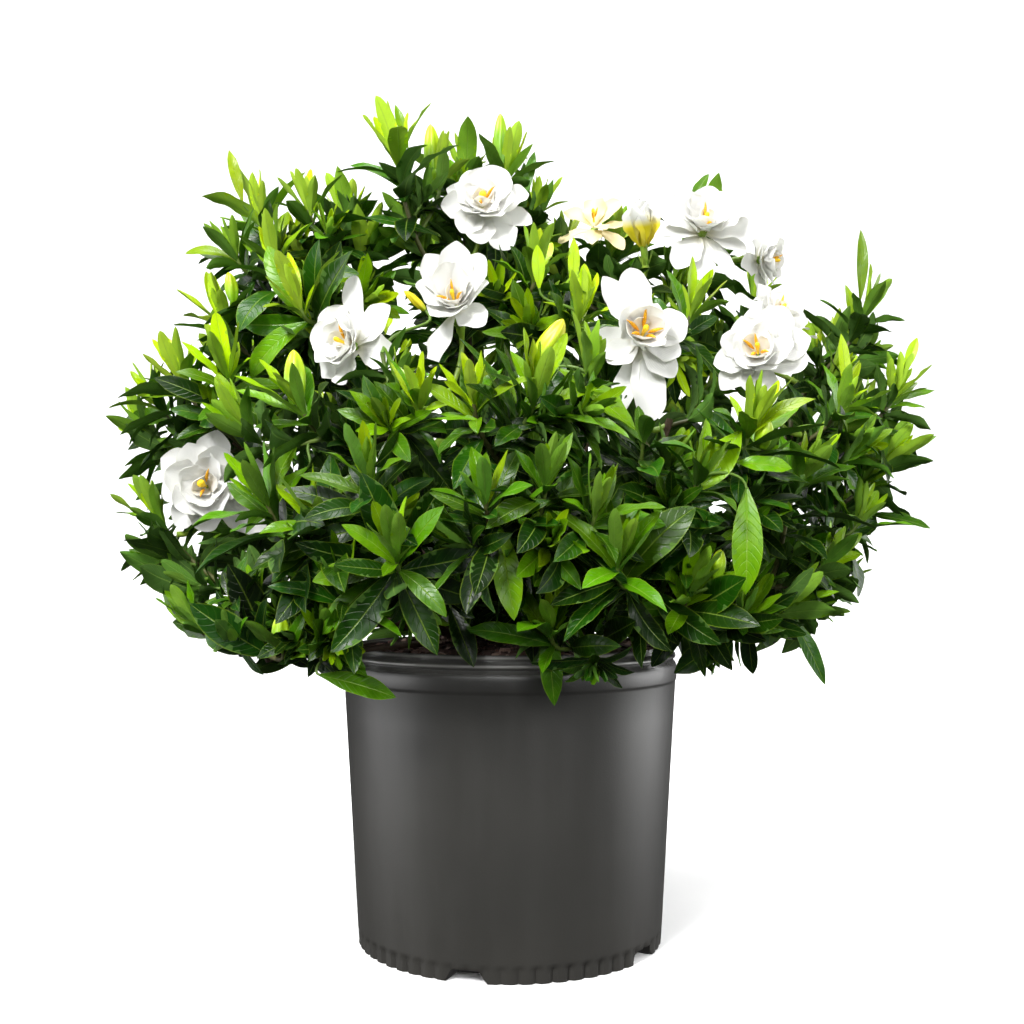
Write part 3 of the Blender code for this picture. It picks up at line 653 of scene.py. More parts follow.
def rosette(twig, shape, kept, dice, size, youth):
    """Leaves in whorls along a twig's end: upright and lime at the tip, broad and dark below."""
    start = dice.uniform(0, math.tau)
    for order, (below, count, lean, length, aspect, fresh) in enumerate(WHORLS):
        if below * size > twig.length * 0.8:
            break
        spot, way = twig.at(twig.length - below * size)
        side = level_side(way)
        start += math.pi / count + dice.gauss(0, 0.2)
        for index in range(count):
            best = None
            for attempt in range(LEAF_TRIES):
                turn = start + math.tau * index / count + dice.gauss(0, 0.28 + 0.12 * attempt)
                out = rotated(side, way, turn)
                lift = math.radians(lean + dice.gauss(0, 11))
                heading = unit(way * math.cos(lift) + out * math.sin(lift))
                long = length * size * dice.uniform(0.68, 1.15)
                wide = long * aspect * dice.uniform(0.85, 1.15)
                tint = min(1.0, max(0.0, fresh * youth + dice.gauss(0, 0.07)))
                young = order < YOUNG_WHORLS
                leaf = Leaf(
                    spot, heading, way if order else -out, long, wide, tint, dice,
                    blunt=dice.uniform(0.3, 0.9) if young else dice.uniform(0, 0.2),
                    arch=dice.uniform(-0.1, 0.35) if young else dice.uniform(-0.95, -0.1),
                )
                spots = leaf.middle()
                if not kept.clear(spots):
                    continue
                crowd = kept.crowding(spots)
                if best is None or crowd < best[0]:
                    best = (crowd, leaf, spots)
                if crowd == 0:
                    break
            if best:
                best[1].add_to(shape)
                kept.take(best[2])


# ---------------------------------------------------------------- buds


def add_bud(shape, base, way, length, radius, ripeness):
    """A pointed, twisted bud with five ribs on a short calyx with narrow sepals."""
    rings, sides = 20, 25
    side = level_side(way)
    across = np.cross(way, side)
    points = []
    places = []
    for ring in range(rings):
        v = ring / (rings - 1)
        swell = float(bulge(np.array(0.10 + 0.895 * v), 0.50, 0.62))
        for index in range(sides):
            turn = math.tau * index / sides
            rib = 1 + 0.13 * math.cos(5 * turn - 3.6 * v)
            out = side * math.cos(turn) + across * math.sin(turn)
            points.append(base + way * length * v + out * radius * swell * rib)
            places.append((0.5, v))
    shape.add(points, ring_faces(rings, sides), places, slot=2, youth=ripeness)
    for index in range(5):
        out = side * math.cos(math.tau * index / 5) + across * math.sin(math.tau * index / 5)
        foot = base + way * length * BUD_SHARE * 0.3 + out * radius * 0.42
        add_sepal(shape, foot, way, out, length * 0.42, radius * 0.20, slot=1)


def add_sepal(shape, foot, way, out, length, half_width, slot):
    """One narrow pointed sepal that hugs a bud or a flower tube."""
    steps = np.linspace(0, 1, 6)
    side = np.cross(way, out)
    bows = [out * half_width * (2.2 * t - 1.2 * t * t) for t in steps]
    path = [foot + way * length * t + bow for t, bow in zip(steps, bows)]
    rings = []
    for point, t in zip(path, steps):
        wide = half_width * (1 - t) ** 0.7 + 0.05
        thin = 0.35 * (1 - 0.7 * t)
        rings += [point + side * wide, point + out * thin, point - side * wide, point - out * thin]
    shape.add(rings, ring_faces(len(steps), 4), slot=slot, tone=0.5, youth=0.9)


# ---------------------------------------------------------------- shader helper


class Value:
    """A number in a node tree, so that a material's formulas read as formulas."""

    def __init__(self, shader, socket):
        self.shader = shader
        self.socket = socket

    def __add__(self, other):
        return self.shader.math("ADD", self, other)

    def __radd__(self, other):
        return self.shader.math("ADD", other, self)

    def __sub__(self, other):
        return self.shader.math("SUBTRACT", self, other)

    def __rsub__(self, other):
        return self.shader.math("SUBTRACT", other, self)

    def __mul__(self, other):
        return self.shader.math("MULTIPLY", self, other)

    def __truediv__(self, other):
        return self.shader.math("DIVIDE", self, other)

    def __pow__(self, other):
        return self.shader.math("POWER", self, other)

    def __abs__(self):
        return self.shader.math("ABSOLUTE", self)

    def fraction(self):
        return self.shader.math("FRACT", self)

    def clamped(self):
        """The same number, held between 0 and 1."""
        self.socket.node.use_clamp = True
        return self


class Shader:
    """Short calls for building one material's node tree."""

    def __init__(self, name):
        self.material = bpy.data.materials.new(name)
        self.material.use_nodes = True
        self.tree = self.material.node_tree
        self.principled = self.tree.nodes["Principled BSDF"]
        self.output = self.tree.nodes["Material Output"]

    def node(self, kind, **settings):
        made = self.tree.nodes.new(kind)
        for name, value in settings.items():
            setattr(made, name, value)
        return made

    def feed(self, socket, value):
        if isinstance(value, Value):
            value = value.socket
        if isinstance(value, bpy.types.NodeSocket):
            self.tree.links.new(value, socket)
        else:
            socket.default_value = value

    def math(self, operation, *values):
        made = self.node("ShaderNodeMath", operation=operation)
        for socket, value in zip(made.inputs, values):
            self.feed(socket, value)
        return Value(self, made.outputs[0])

    def blend(self, share, first, second):
        """The second colour over the first, by a share of 0 to 1."""
        made = self.node("ShaderNodeMix", data_type="RGBA")
        self.feed(made.inputs["Factor"], share)
        for socket, colour in zip(made.inputs[6:8], (first, second)):
            self.feed(socket, (*colour, 1) if isinstance(colour, tuple) else colour)
        return made.outputs[2]

    def ramp(self, value, *stops):
        made = self.node("ShaderNodeValToRGB")
        self.feed(made.inputs[0], value)
        marks = made.color_ramp.elements
        while len(marks) < len(stops):
            marks.new(0.5)
        for mark, (place, colour) in zip(marks, stops):
            mark.position = place
            mark.color = (*colour, 1)
        return made.outputs[0]

    def value(self, name):
        return Value(self, self.node("ShaderNodeAttribute", attribute_name=name).outputs["Fac"])

    def noise(self, scale, detail=3.0, rough=0.5, where=None):
        made = self.node("ShaderNodeTexNoise")
        made.inputs["Scale"].default_value = scale
        made.inputs["Detail"].default_value = detail
        made.inputs["Roughness"].default_value = rough
        source = where or self.node("ShaderNodeTexCoord").outputs["Object"]
        self.feed(made.inputs["Vector"], source)
        return Value(self, made.outputs["Fac"])

    def place(self):
        """Texture place as two numbers: across and along."""
        split = self.node("ShaderNodeSeparateXYZ")
        self.feed(split.inputs[0], self.node("ShaderNodeUVMap", uv_map="place").outputs[0])
        return Value(self, split.outputs[0]), Value(self, split.outputs[1])

    def bump(self, height, strength, distance, before=None):
        made = self.node("ShaderNodeBump")
        made.inputs["Strength"].default_value = strength
        made.inputs["Distance"].default_value = distance
        self.feed(made.inputs["Height"], height)
        if before:
            self.feed(made.inputs["Normal"], before)
        return made.outputs[0]

    def set(self, name, value):
        self.feed(self.principled.inputs[name], value)

    def soften(self, weight, depths):
        """Lets light scatter inside: how much of it, and how deep in metres for red, green and blue."""
        self.set("Subsurface Weight", weight)
        self.set("Subsurface Radius", depths)
        self.set("Subsurface Scale", 1.0)

    def see_through(self, colour, share):
        """Lets some light through a thin blade."""
        glow = self.node("ShaderNodeBsdfTranslucent")
        self.feed(glow.inputs["Color"], colour)
        mixed = self.node("ShaderNodeMixShader")
        self.feed(mixed.inputs[0], share)
        self.feed(mixed.inputs[1], self.principled.outputs[0])
        self.feed(mixed.inputs[2], glow.outputs[0])
        self.feed(self.output.inputs["Surface"], mixed.outputs[0])


def leaf_material():
    """Glossy leaf with pale ribs and margin: dark when old, lime when young, duller underneath."""
    s = Shader("gardenia_leaf")
    across, along = s.place()
    off = abs(across * 2.0 - 1.0)
    rib = (1.0 - off / 0.07).clamped()
    sweep = along * 11.0 - off**1.4 * 1.6
    side_rib = (1.0 - abs(sweep.fraction() - 0.5) / 0.11).clamped()
    margin = ((off - 0.90) / 0.10).clamped()
    tone = s.value("tone")
    under = s.value("under")
    mottle = s.noise(140.0, 4.0, 0.6)
    base = s.ramp(
        s.value("youth") + (mottle - 0.5) * 0.22,
        (0.0, (0.0035, 0.018, 0.0010)),
        (0.20, (0.013, 0.060, 0.0012)),
        (0.45, (0.090, 0.235, 0.0015)),
        (0.72, (0.270, 0.450, 0.002)),
        (1.0, (0.500, 0.660, 0.004)),
    )
    shade = s.node("ShaderNodeHueSaturation")
    s.feed(shade.inputs["Value"], 0.72 + tone * 0.6)
    s.feed(shade.inputs["Hue"], 0.492 + tone * 0.018)
    s.feed(shade.inputs["Color"], base)
    colour = s.blend(side_rib * 0.07, shade.outputs[0], (0.20, 0.36, 0.04))
    colour = s.blend(rib * 0.55, colour, (0.30, 0.46, 0.06))
    colour = s.blend(margin * 0.35, colour, (0.34, 0.50, 0.03))
    colour = s.blend(under * 0.45, colour, (0.13, 0.27, 0.045))
    s.set("Base Color", colour)
    s.set("Roughness", 0.22 + mottle * 0.18 + under * 0.45)
    s.set("IOR", 1.36)
    veins = s.bump(side_rib * -0.5 + rib * -1.0, 0.55, 0.0005)
    s.set("Normal", s.bump(s.noise(900.0, 3.0, 0.6), 0.12, 0.0004, veins))
    s.see_through(s.blend(0.28, colour, (0.36, 0.62, 0.01)), 0.16)
    return s.material


def twig_material():
    """Green twigs of this year, browner towards their base."""
    s = Shader("green_twig")
    grain = s.noise(260.0, 4.0, 0.6)
    s.set("Base Color", s.ramp(
        s.value("youth") + (grain - 0.5) * 0.5,
        (0.0, (0.060, 0.034, 0.018)),
        (0.4, (0.090, 0.110, 0.022)),
        (1.0, (0.110, 0.240, 0.014)),
    ))
    s.set("Roughness", 0.42 + grain * 0.25)
    s.set("Normal", s.bump(s.noise(700.0, 4.0, 0.7), 0.4, 0.0006))
    return s.material


def bark_material():
    s = Shader("gardenia_bark")
    coarse = s.noise(120.0, 5.0, 0.65)
    fine = s.noise(700.0, 4.0, 0.7)
    colour = s.ramp(
        coarse,
        (0.25, (0.040, 0.022, 0.012)),
        (0.5, (0.105, 0.066, 0.036)),
        (0.75, (0.200, 0.150, 0.095)),
    )
    s.set("Base Color", s.blend(fine * 0.5, colour, (0.060, 0.040, 0.025)))
    s.set("Roughness", 0.70 + fine * 0.25)
    s.set("Normal", s.bump(fine, 0.6, 0.0008, s.bump(coarse, 0.9, 0.0016)))
    return s.material


def petal_material():
    """White petal: creamy at its claw, golden or aged where its values say so, with fine lines."""
    s = Shader("gardenia_petal")
    across, along = s.place()
    off = abs(across * 2.0 - 1.0)
    blush = s.noise(60.0, 3.0, 0.5)
    colour = s.blend(blush * 0.5, (0.87, 0.87, 0.845), (0.82, 0.82, 0.795))
    claw = (1.0 - along / 0.30).clamped()
    colour = s.blend(claw * 0.55, colour, (0.86, 0.80, 0.50))
    colour = s.blend(s.value("youth") * 0.75, colour, (0.84, 0.72, 0.34))
    low = (1.0 - (along - 0.52) * 5.0).clamped()
    colour = s.blend(low * s.value("gold"), colour, (0.93, 0.82, 0.02))
    edge = ((off - 0.92) / 0.08).clamped()
    colour = s.blend(edge * (s.value("tone") * 0.30), colour, (0.80, 0.74, 0.46))
    s.set("Base Color", colour)
    s.set("Roughness", 0.44 + blush * 0.16)
    s.soften(0.12, (0.004, 0.004, 0.003))
    s.set("Sheen Weight", 0.10)
    lines = s.bump(abs((across * 14.0).fraction() - 0.5) * 2.0, 0.16, 0.0003)
    s.set("Normal", s.bump(s.noise(420.0, 3.0, 0.6), 0.10, 0.0005, lines))
    s.see_through(s.blend(0.3, colour, (0.96, 0.95, 0.88)), 0.26)
    return s.material


def bud_material():
    """Bud that turns from green to yellow towards its tip and with ripeness."""
    s = Shader("flower_bud")
    _, along = s.place()
    tone = s.noise(160.0, 3.0, 0.5)
    ripe = along * 0.45 + s.value("youth") * 0.62
    s.set("Base Color", s.ramp(
        ripe + (tone - 0.5) * 0.3,
        (0.0, (0.060, 0.200, 0.003)),
        (0.35, (0.200, 0.400, 0.004)),
        (0.75, (0.500, 0.640, 0.010)),
        (1.0, (0.780, 0.640, 0.020)),
    ))
    s.set("Roughness", 0.34 + tone * 0.14)
    s.set("Normal", s.bump(tone, 0.2, 0.0005))
    s.soften(0.1, (0.003, 0.004, 0.001))
    return s.material


def grained_material(name, noise, dark, light, roughness, bump):
    """A small plain part between two (place, colour) stops: roughness is (least, share of the grain)."""
    s = Shader(name)
    grain = s.noise(*noise)
    s.set("Base Color", s.ramp(grain, dark, light))
    s.set("Roughness", roughness[0] + grain * roughness[1])
    s.set("Normal", s.bump(grain, *bump))
    return s.material


def calyx_material():
    """Pale green flower tube and sepals."""
    dark, light = (0.3, (0.150, 0.300, 0.020)), (0.7, (0.300, 0.420, 0.050))
    return grained_material("green_calyx", (300.0, 3.0, 0.5), dark, light, (0.35, 0.2), (0.3, 0.0005))


def anther_material():
    dark, light = (0.30, (0.55, 0.200, 0.004)), (0.65, (0.95, 0.520, 0.010))
    return grained_material("anther", (900.0, 3.0, 0.6), dark, light, (0.6, 0.2), (0.5, 0.0004))


def stigma_material():
    dark, light = (0.30, (0.90, 0.520, 0.004)), (0.65, (1.0, 0.740, 0.020))
    return grained_material("stigma", (700.0, 3.0, 0.6), dark, light, (0.5, 0.2), (0.5, 0.0005))


def pot_material():
    """Satin grey moulded plastic: mottling, flow streaks, dust at the foot, and a smoother rim lightened
    with painted sheen and painted highlight lines.
    """
    s = Shader("pot_plastic")
    where = s.node("ShaderNodeTexCoord").outputs["Object"]
    stretch = s.node("ShaderNodeMapping")
    stretch.inputs["Scale"].default_value = (1.0, 1.0, 0.12)
    s.feed(stretch.inputs["Vector"], where)
    streak = s.noise(70.0, 4.0, 0.55, stretch.outputs[0])
    cloud = s.noise(16.0, 3.0, 0.5, where)
    speck = s.noise(900.0, 2.0, 0.5, where)
    split = s.node("ShaderNodeSeparateXYZ")
    s.feed(split.inputs[0], where)
    height = Value(s, split.outputs[2])
    colour = s.ramp(cloud, (0.30, (0.021, 0.0204, 0.0178)), (0.70, (0.027, 0.0262, 0.0230)))
    colour = s.blend(streak * 0.35, colour, (0.026, 0.025, 0.022))
    low = (1.0 - height / 0.05).clamped()
    colour = s.blend(low * (cloud * 0.35), colour, (0.045, 0.040, 0.033))
    # painted sheen: the rim's top is lightened in colour to stand for a highlight; its lower roughness is a
    # real smoother finish
    polish_and_sheen = ((height - (POT_HEIGHT - RIM_SHEEN_AND_POLISH) * MM) / 0.003).clamped()
    colour = s.blend(polish_and_sheen * 0.75, colour, (0.130, 0.128, 0.120))
    # painted highlight lines round the rim: the colour is lightened in thin bands, broken up with noise
    for drop, half_width in RIM_HIGHLIGHT_BANDS:
        off = abs(height - (POT_HEIGHT - drop) * MM)
        on_highlight_line = (1.0 - off / (half_width * MM)).clamped()
        colour = s.blend(on_highlight_line * (0.55 + cloud * 0.6), colour, (0.46, 0.45, 0.42))
    s.set("Base Color", colour)
    s.set("Roughness", 0.36 + streak * 0.14 - polish_and_sheen * 0.20)
    s.set("Specular IOR Level", 0.85)
    s.set("Normal", s.bump(streak, 0.10, 0.0008, s.bump(speck, 0.10, 0.0004)))
    return s.material


def mix_material():
    """Dark soil, and bark crumbs (youth 1) whose tone runs from near black to tan."""
    s = Shader("potting_mix")
    coarse = s.noise(120.0, 5.0, 0.7)
    fine = s.noise(800.0, 4.0, 0.7)
    soil = s.ramp(
        coarse,
        (0.30, (0.018, 0.009, 0.006)),
        (0.55, (0.066, 0.031, 0.022)),
        (0.75, (0.150, 0.080, 0.058)),
    )
    chip = s.ramp(
        s.value("tone"),
        (0.0, (0.022, 0.010, 0.007)),
        (0.5, (0.100, 0.046, 0.032)),
        (0.85, (0.210, 0.115, 0.082)),
        (1.0, (0.400, 0.290, 0.230)),
    )
    chip = s.blend(fine * 0.6, chip, (0.020, 0.012, 0.008))
    s.set("Base Color", s.blend(s.value("youth"), soil, chip))
    s.set("Roughness", 0.75 + fine * 0.2)
    s.set("Normal", s.bump(fine, 0.7, 0.0008, s.bump(coarse, 0.8, 0.002)))
    return s.material


# ---------------------------------------------------------------- pot and potting mix


def outer_radius(height):
    top = POT_HEIGHT - COLLAR_DROP
    return FOOT_RADIUS + (RIM_RADIUS - WALL_INSET - FOOT_RADIUS) * height / top


def in_bay(turn):
    """How far into the nearest drainage bay's mouth an angle lies: 1 is its middle, under 0 outside."""
    best = -9.0
    for index in range(BAY_COUNT):
        middle = math.radians(BAY_FIRST_DEG - 90 + index * 360 / BAY_COUNT)
        gap = math.remainder(turn - middle, math.tau)
        best = max(best, 1 - abs(gap) * FOOT_RADIUS / (BAY_MOUTH / 2))
    return best


def build_pot():
    """The thin shell with its rolled rim, collar, scalloped foot and raised drainage bays."""
    top = POT_HEIGHT
    step = POT_HEIGHT - COLLAR_DROP
    rim = [(RIM_RADIUS - inset, top - drop) for inset, drop in RIM_PROFILE]
    rim.append((RIM_RADIUS, step + 2.2))
    under = outer_radius(step)
    wall = [(under + COLLAR_STEP, step + 1.2), (under + COLLAR_STEP * 0.3, step + 0.3)]
    wall += [(outer_radius(z), z) for z in np.linspace(step - 0.6, 15.0, 9)]
    flutes = [(outer_radius(z), z) for z in (12.6, 11.2, 9.8, 8.2, 6.2, 4.2, 2.2, 0.9, 0.25)]
    bottom = [(radius, 0.0) for radius in (FOOT_RADIUS - 1, FOOT_RADIUS - 4, FOOT_RADIUS - BAY_DEPTH, 60)]
    inner = [
        (FOOT_RADIUS - BAY_DEPTH - 1.5, FLOOR), (outer_radius(9) - WALL, 9.0 + FLOOR),
        (outer_radius(step) - WALL, step), (RIM_RADIUS - 4.6, top - 9), (RIM_RADIUS - 5.4, top - 3),
    ]
    profile = rim + wall + flutes + bottom
    points = []
    places = []
    for number, (radius, height) in enumerate(profile):
        for side in range(POT_SIDES):
            turn = math.tau * side / POT_SIDES
            ring, z = radius, height
            bay = in_bay(turn)
            fluted = smooth(0, 1, (FLUTE_HEIGHT + 2.5 - height) / 3.0) * (radius > FOOT_RADIUS - 2)
            notch = 0.5 - 0.5 * math.cos(FLUTES * turn)
            depth = FLUTE_DEPTH * (0.75 + 0.25 * math.sin(5 * turn + 1.1))
            ring -= depth * fluted * notch**4
            lift = smooth(0.0, 0.34, bay) * BAY_HEIGHT
            if radius > FOOT_RADIUS - BAY_DEPTH - 1 and height < BAY_HEIGHT:
                z = height + lift * (1 - height / BAY_HEIGHT)
            if lift > 0.5 and height < 0.3 and radius > FOOT_RADIUS - 5:
                ring -= 0.4
            points.append((ring * math.cos(turn), ring * math.sin(turn), z))
            places.append((side / POT_SIDES, number / len(profile)))
    centre = len(points)
    for radius, height in reversed(inner):
        for side in range(POT_SIDES):
            turn = math.tau * side / POT_SIDES
            points.append((radius * math.cos(turn), radius * math.sin(turn), height))
            places.append((side / POT_SIDES, 0.5))
    rings = len(profile)
    faces = [tuple(reversed(face)) for face in ring_faces(rings, POT_SIDES, False, False)]
    inside = ring_faces(len(inner), POT_SIDES, False, False)
    faces += [tuple(centre + corner for corner in face) for face in inside]
    for side in range(POT_SIDES):
        after = (side + 1) % POT_SIDES
        faces.append((side, after, centre + after, centre + side))
    faces.append(tuple((rings - 1) * POT_SIDES + side for side in reversed(range(POT_SIDES))))
    floor = centre + (len(inner) - 1) * POT_SIDES
    faces.append(tuple(floor + side for side in range(POT_SIDES)))
    shape = Shape()
    shape.add(points, faces, places)
    pot = shape.build("pot_shell", [MATERIALS["pot"]], 32)
    finish_piece(pot, "nursery_pot")


def mix_height(x, y):
    """Height of the potting mix: a low mound with lumps."""
    reach = math.hypot(x, y)
    lumps = math.sin(x * 0.11 + 1.3) * math.cos(y * 0.13 - 0.4)
    lumps += 0.6 * math.sin(x * 0.31) * math.sin(y * 0.27 + 2)
    mound = MIX_MOUND * (1 - (reach / RIM_RADIUS) ** 2)
    return MIX_LEVEL + mound + lumps - 1.5 * smooth(95, 110, reach)


def add_crumb(shape, centre, size, dice):
    """One angular chip of bark: a squashed, roughened block of eight corners."""
    spin = dice.uniform(0, math.tau)
    tilt = dice.uniform(-0.5, 0.5)
    long = size * dice.uniform(0.8, 1.7)
    thick = size * dice.uniform(0.25, 0.55)
    corners = []
    for z in (-1, 1):
        for x, y in ((-1, -1), (1, -1), (1, 1), (-1, 1)):
            taper = 0.75 if z > 0 else 1.0
            a = x * long / 2 * taper * dice.uniform(0.7, 1.2)
            b = y * size / 2 * taper * dice.uniform(0.7, 1.2)
            c = z * thick / 2 * dice.uniform(0.7, 1.3)
            a, c = a * math.cos(tilt) - c * math.sin(tilt), a * math.sin(tilt) + c * math.cos(tilt)
            corners.append((
                centre[0] + a * math.cos(spin) - b * math.sin(spin),
                centre[1] + a * math.sin(spin) + b * math.cos(spin),
                centre[2] + c,
            ))
    faces = [(3, 2, 1, 0), (4, 5, 6, 7), (0, 1, 5, 4), (1, 2, 6, 5), (2, 3, 7, 6), (3, 0, 4, 7)]
    shape.add(corners, faces, youth=1.0, tone=dice.random() ** 1.4)


def build_mix():
    """Potting mix: a lumpy surface in the pot, with loose bark crumbs on it."""
    dice = random.Random("mix")
    shape = Shape()
    rings, sides = 26, 96
    outer = outer_radius(MIX_LEVEL - 12) - WALL - 0.8
    points = []
    for ring in range(rings):
        radius = outer * (ring + 1) / rings
        for side in range(sides):
            turn = math.tau * side / sides
            x, y = radius * math.cos(turn), radius * math.sin(turn)
            points.append((x, y, mix_height(x, y) + dice.gauss(0, 0.45)))
    for turn in np.linspace(0, math.tau, sides, endpoint=False):
        points.append((outer * 0.97 * math.cos(turn), outer * 0.97 * math.sin(turn), MIX_LEVEL - 14))
    faces = [face[::-1] for face in ring_faces(rings + 1, sides, False, False)]
    faces.append(tuple(rings * sides + side for side in reversed(range(sides))))
    hub = len(points)
    points.append((0, 0, mix_height(0, 0)))
    faces += [(hub, side, (side + 1) % sides) for side in range(sides)]
    shape.add(points, faces, youth=0.0, tone=0.3)
    for _ in range(CRUMBS):
        reach = (outer - 4) * math.sqrt(dice.random())
        turn = dice.uniform(0, math.tau)
        x, y = reach * math.cos(turn), reach * math.sin(turn)
        size = 1.6 + 5.0 * dice.random() ** 2.2
        add_crumb(shape, (x, y, mix_height(x, y) + size * 0.12), size, dice)
    mix = shape.build("potting_mix_surface", [MATERIALS["mix"]], 40)
    finish_piece(mix, "potting_mix")


# ---------------------------------------------------------------- stems and shoots


def build_woody_stems():
    """The crown and its stems, knobbly where leaves once grew."""
    dice = random.Random("stems")
    shape = Shape()
    heights = np.linspace(CROWN_BOTTOM + 12, CROWN_TOP + 4, 9)
    path = np.array([(1.2 * math.sin(z * 0.2), 0.8 * math.cos(z * 0.23), z) for z in heights])
    radii = [CROWN_RADIUS * (1.0 - 0.45 * (i / 8) ** 2) * dice.uniform(0.93, 1.05) for i in range(9)]
    add_tube(shape, path, radii, 20)
    for points in STEMS.values():
        path = stem_route(points)
        radii = np.linspace(STEM_BASE_RADIUS, STEM_TIP_RADIUS, len(path))
        knots = [dice.gauss(0, 0.06) for _ in path]
        swell = [0.18 if index % 7 == 3 else 0.0 for index in range(len(path))]
        radii = radii * (1 + np.array(knots) + np.array(swell))
        add_tube(shape, path, radii, 10)
    stems = shape.build("woody_stem_bark", [MATERIALS["bark"]], 60)
    finish_piece(stems, "woody_stems")


def side_sprig(twig, distance, kept, dice, lean, reach, lift, radii):
    """A short side twig at a distance along a twig, or None where there is no room for it.

    Lean is its share of outward, onward and upward, and lift turns its end up.
    """
    spot, way = twig.at(distance)
    out = rotated(level_side(way), way, dice.uniform(0, math.tau))
    heading = unit(out * lean[0] + way * lean[1] + UP * lean[2])
    end = spot + heading * dice.uniform(*reach)
    if not kept.clear(np.array([end])):
        return None
    return Twig(arched(spot, heading, end, unit(heading + UP * lift), 8), *radii)


def grow_inner_leaves(kept):
    """Short leafy sprigs along the woody stems, in five pieces of three stems each."""
    groups = [list(STEMS.items())[first::INNER_PIECES] for first in range(INNER_PIECES)]
    for number, group in enumerate(groups, 1):
        shape = Shape()
        for name, points in group:
            dice = random.Random("inner " + name)
            stem = Twig(stem_route(points), STEM_BASE_RADIUS, STEM_TIP_RADIUS)
            for distance in np.arange(38, stem.length, INNER_SPACING):
                sprig = side_sprig(stem, distance, kept, dice, (0.9, 0.4, 0.3), (16, 38), 0.5, (1.4, 1.0))
                if sprig:
                    add_tube(shape, sprig.path, sprig.radii, 6, slot=1, tone=0.3, youth=0.3)
                    rosette(sprig, shape, kept, dice, dice.uniform(0.7, 0.95), dice.uniform(0.05, 0.45))
        piece = shape.build(f"inner_leaves_{number}", [MATERIALS["leaf"], MATERIALS["twig"]], 62)
        finish_piece(piece, "woody_stems")


def seat_of(node, carriers):
    """Where a CAD shoot or bloom meets its carrying stem, and the way it leaves it."""
    corners = [vertex.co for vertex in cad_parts[node].data.vertices]
    nearest = min((carriers.find_nearest(corner)[3], index) for index, corner in enumerate(corners))
    close = corners[nearest[1]]
    foot = carriers.find_nearest(close)[0]
    cap = [corner for corner in corners if (corner - close).length < SEAT_REACH * MM]
    deepest = nearest[0] + SEAT_DEPTH * MM
    cap = [corner for corner in cap if carriers.find_nearest(corner)[3] < deepest]
    middle = sum(cap, Vector()) / len(cap)
    normal = carriers.find_nearest(close)[1]
    way = middle - foot if (middle - foot).length > 0.2 * MM else normal
    if way.dot(normal) < 0:
        way = normal
    way = (way.normalized() + normal.normalized()).normalized()
    return vec(middle) / MM, vec(way)


def surface_of(nodes):
    """The CAD faces of some nodes, for measuring from."""
    points = []
    faces = []
    for node in nodes:
        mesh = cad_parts[node].data
        first = len(points)
        points += [vertex.co for vertex in mesh.vertices]
        faces += [tuple(first + index for index in face.vertices) for face in mesh.polygons]
    return BVHTree.FromPolygons(points, faces)


def plan_twigs():
    """Every shoot's stem and side twigs, from its CAD seat to its tips."""
    carriers = surface_of(["woody_stems"])
    plans = {}
    for number, tips in enumerate(SHOOTS, 1):
        node = f"leafy_shoot_{number:02d}"
        seat, leave = seat_of(node, carriers)
        ends = [vec(tip) for tip in tips]
        main = arched(seat + leave * 2.5, leave, ends[0], outward(ends[0]), 22)
        main = np.vstack([seat - leave * 1.5, main])
        twigs = [Twig(main, SHOOT_BASE_RADIUS, SHOOT_TIP_RADIUS)]
        for end in ends[1:]:
            spot, way = twigs[0].at(twigs[0].length * TWIG_FORK)
            away = end - spot
            square = unit(away - way * way.dot(away))
            path = arched(spot, unit(square + way * 0.5), end, outward(end), 16)
            twigs.append(Twig(path, SHOOT_BASE_RADIUS * 0.75, SHOOT_TIP_RADIUS))
        plans[node] = twigs
    return plans


def nearest_shoot(plans, place):
    """The shoot whose twigs pass nearest to a place, and the spot where they do."""
    found = []
    for node, twigs in plans.items():
        for twig in twigs:
            away = np.linalg.norm(twig.path - place, axis=1)
            index = int(away.argmin())
            found.append((away[index], node, index, twig))
    _, node, index, twig = min(found, key=lambda row: row[:3])
    return node, twig.path[index], twig.at(twig.marks[index])[1]


def add_stalk(shape, start, start_way, end, end_way, base_radius, tip_radius, youth=0.8):
    """A green side twiglet to a lone leaf or a bud."""
    path = arched(start, unit(start_way + unit(end - start)), end, end_way, 10)
    add_tube(shape, path, np.linspace(base_radius, tip_radius, 10), 7, slot=1, tone=0.5, youth=youth)


def add_lone_leaf(shape, kept, plans, row):
    """One leaf from a table row, on a twiglet from the nearest shoot."""
    base, tip, half_width, youth = row
    base, tip = vec(base), vec(tip)
    dice = random.Random(repr(row))
    _, start, start_way = nearest_shoot(plans, base)
    chord = unit(tip - base)
    face = unit(np.array((0.0, -0.75, 0.6)) - chord * chord.dot((0.0, -0.75, 0.6)))
    arch = dice.uniform(-0.55, -0.25)
    way = chord * math.cos(arch * 0.46) - face * math.sin(arch * 0.46)
    add_stalk(shape, start, start_way, base + way * 1.0, way, 1.1, 0.75)
    length = np.linalg.norm(tip - base) * 1.03
    leaf = Leaf(base, way, face, length, half_width, youth, dice, blunt=0.1, arch=arch)
    leaf.twist *= 0.5
    leaf.sway *= 0.5
    leaf.add_to(shape)
    kept.take(leaf.middle())


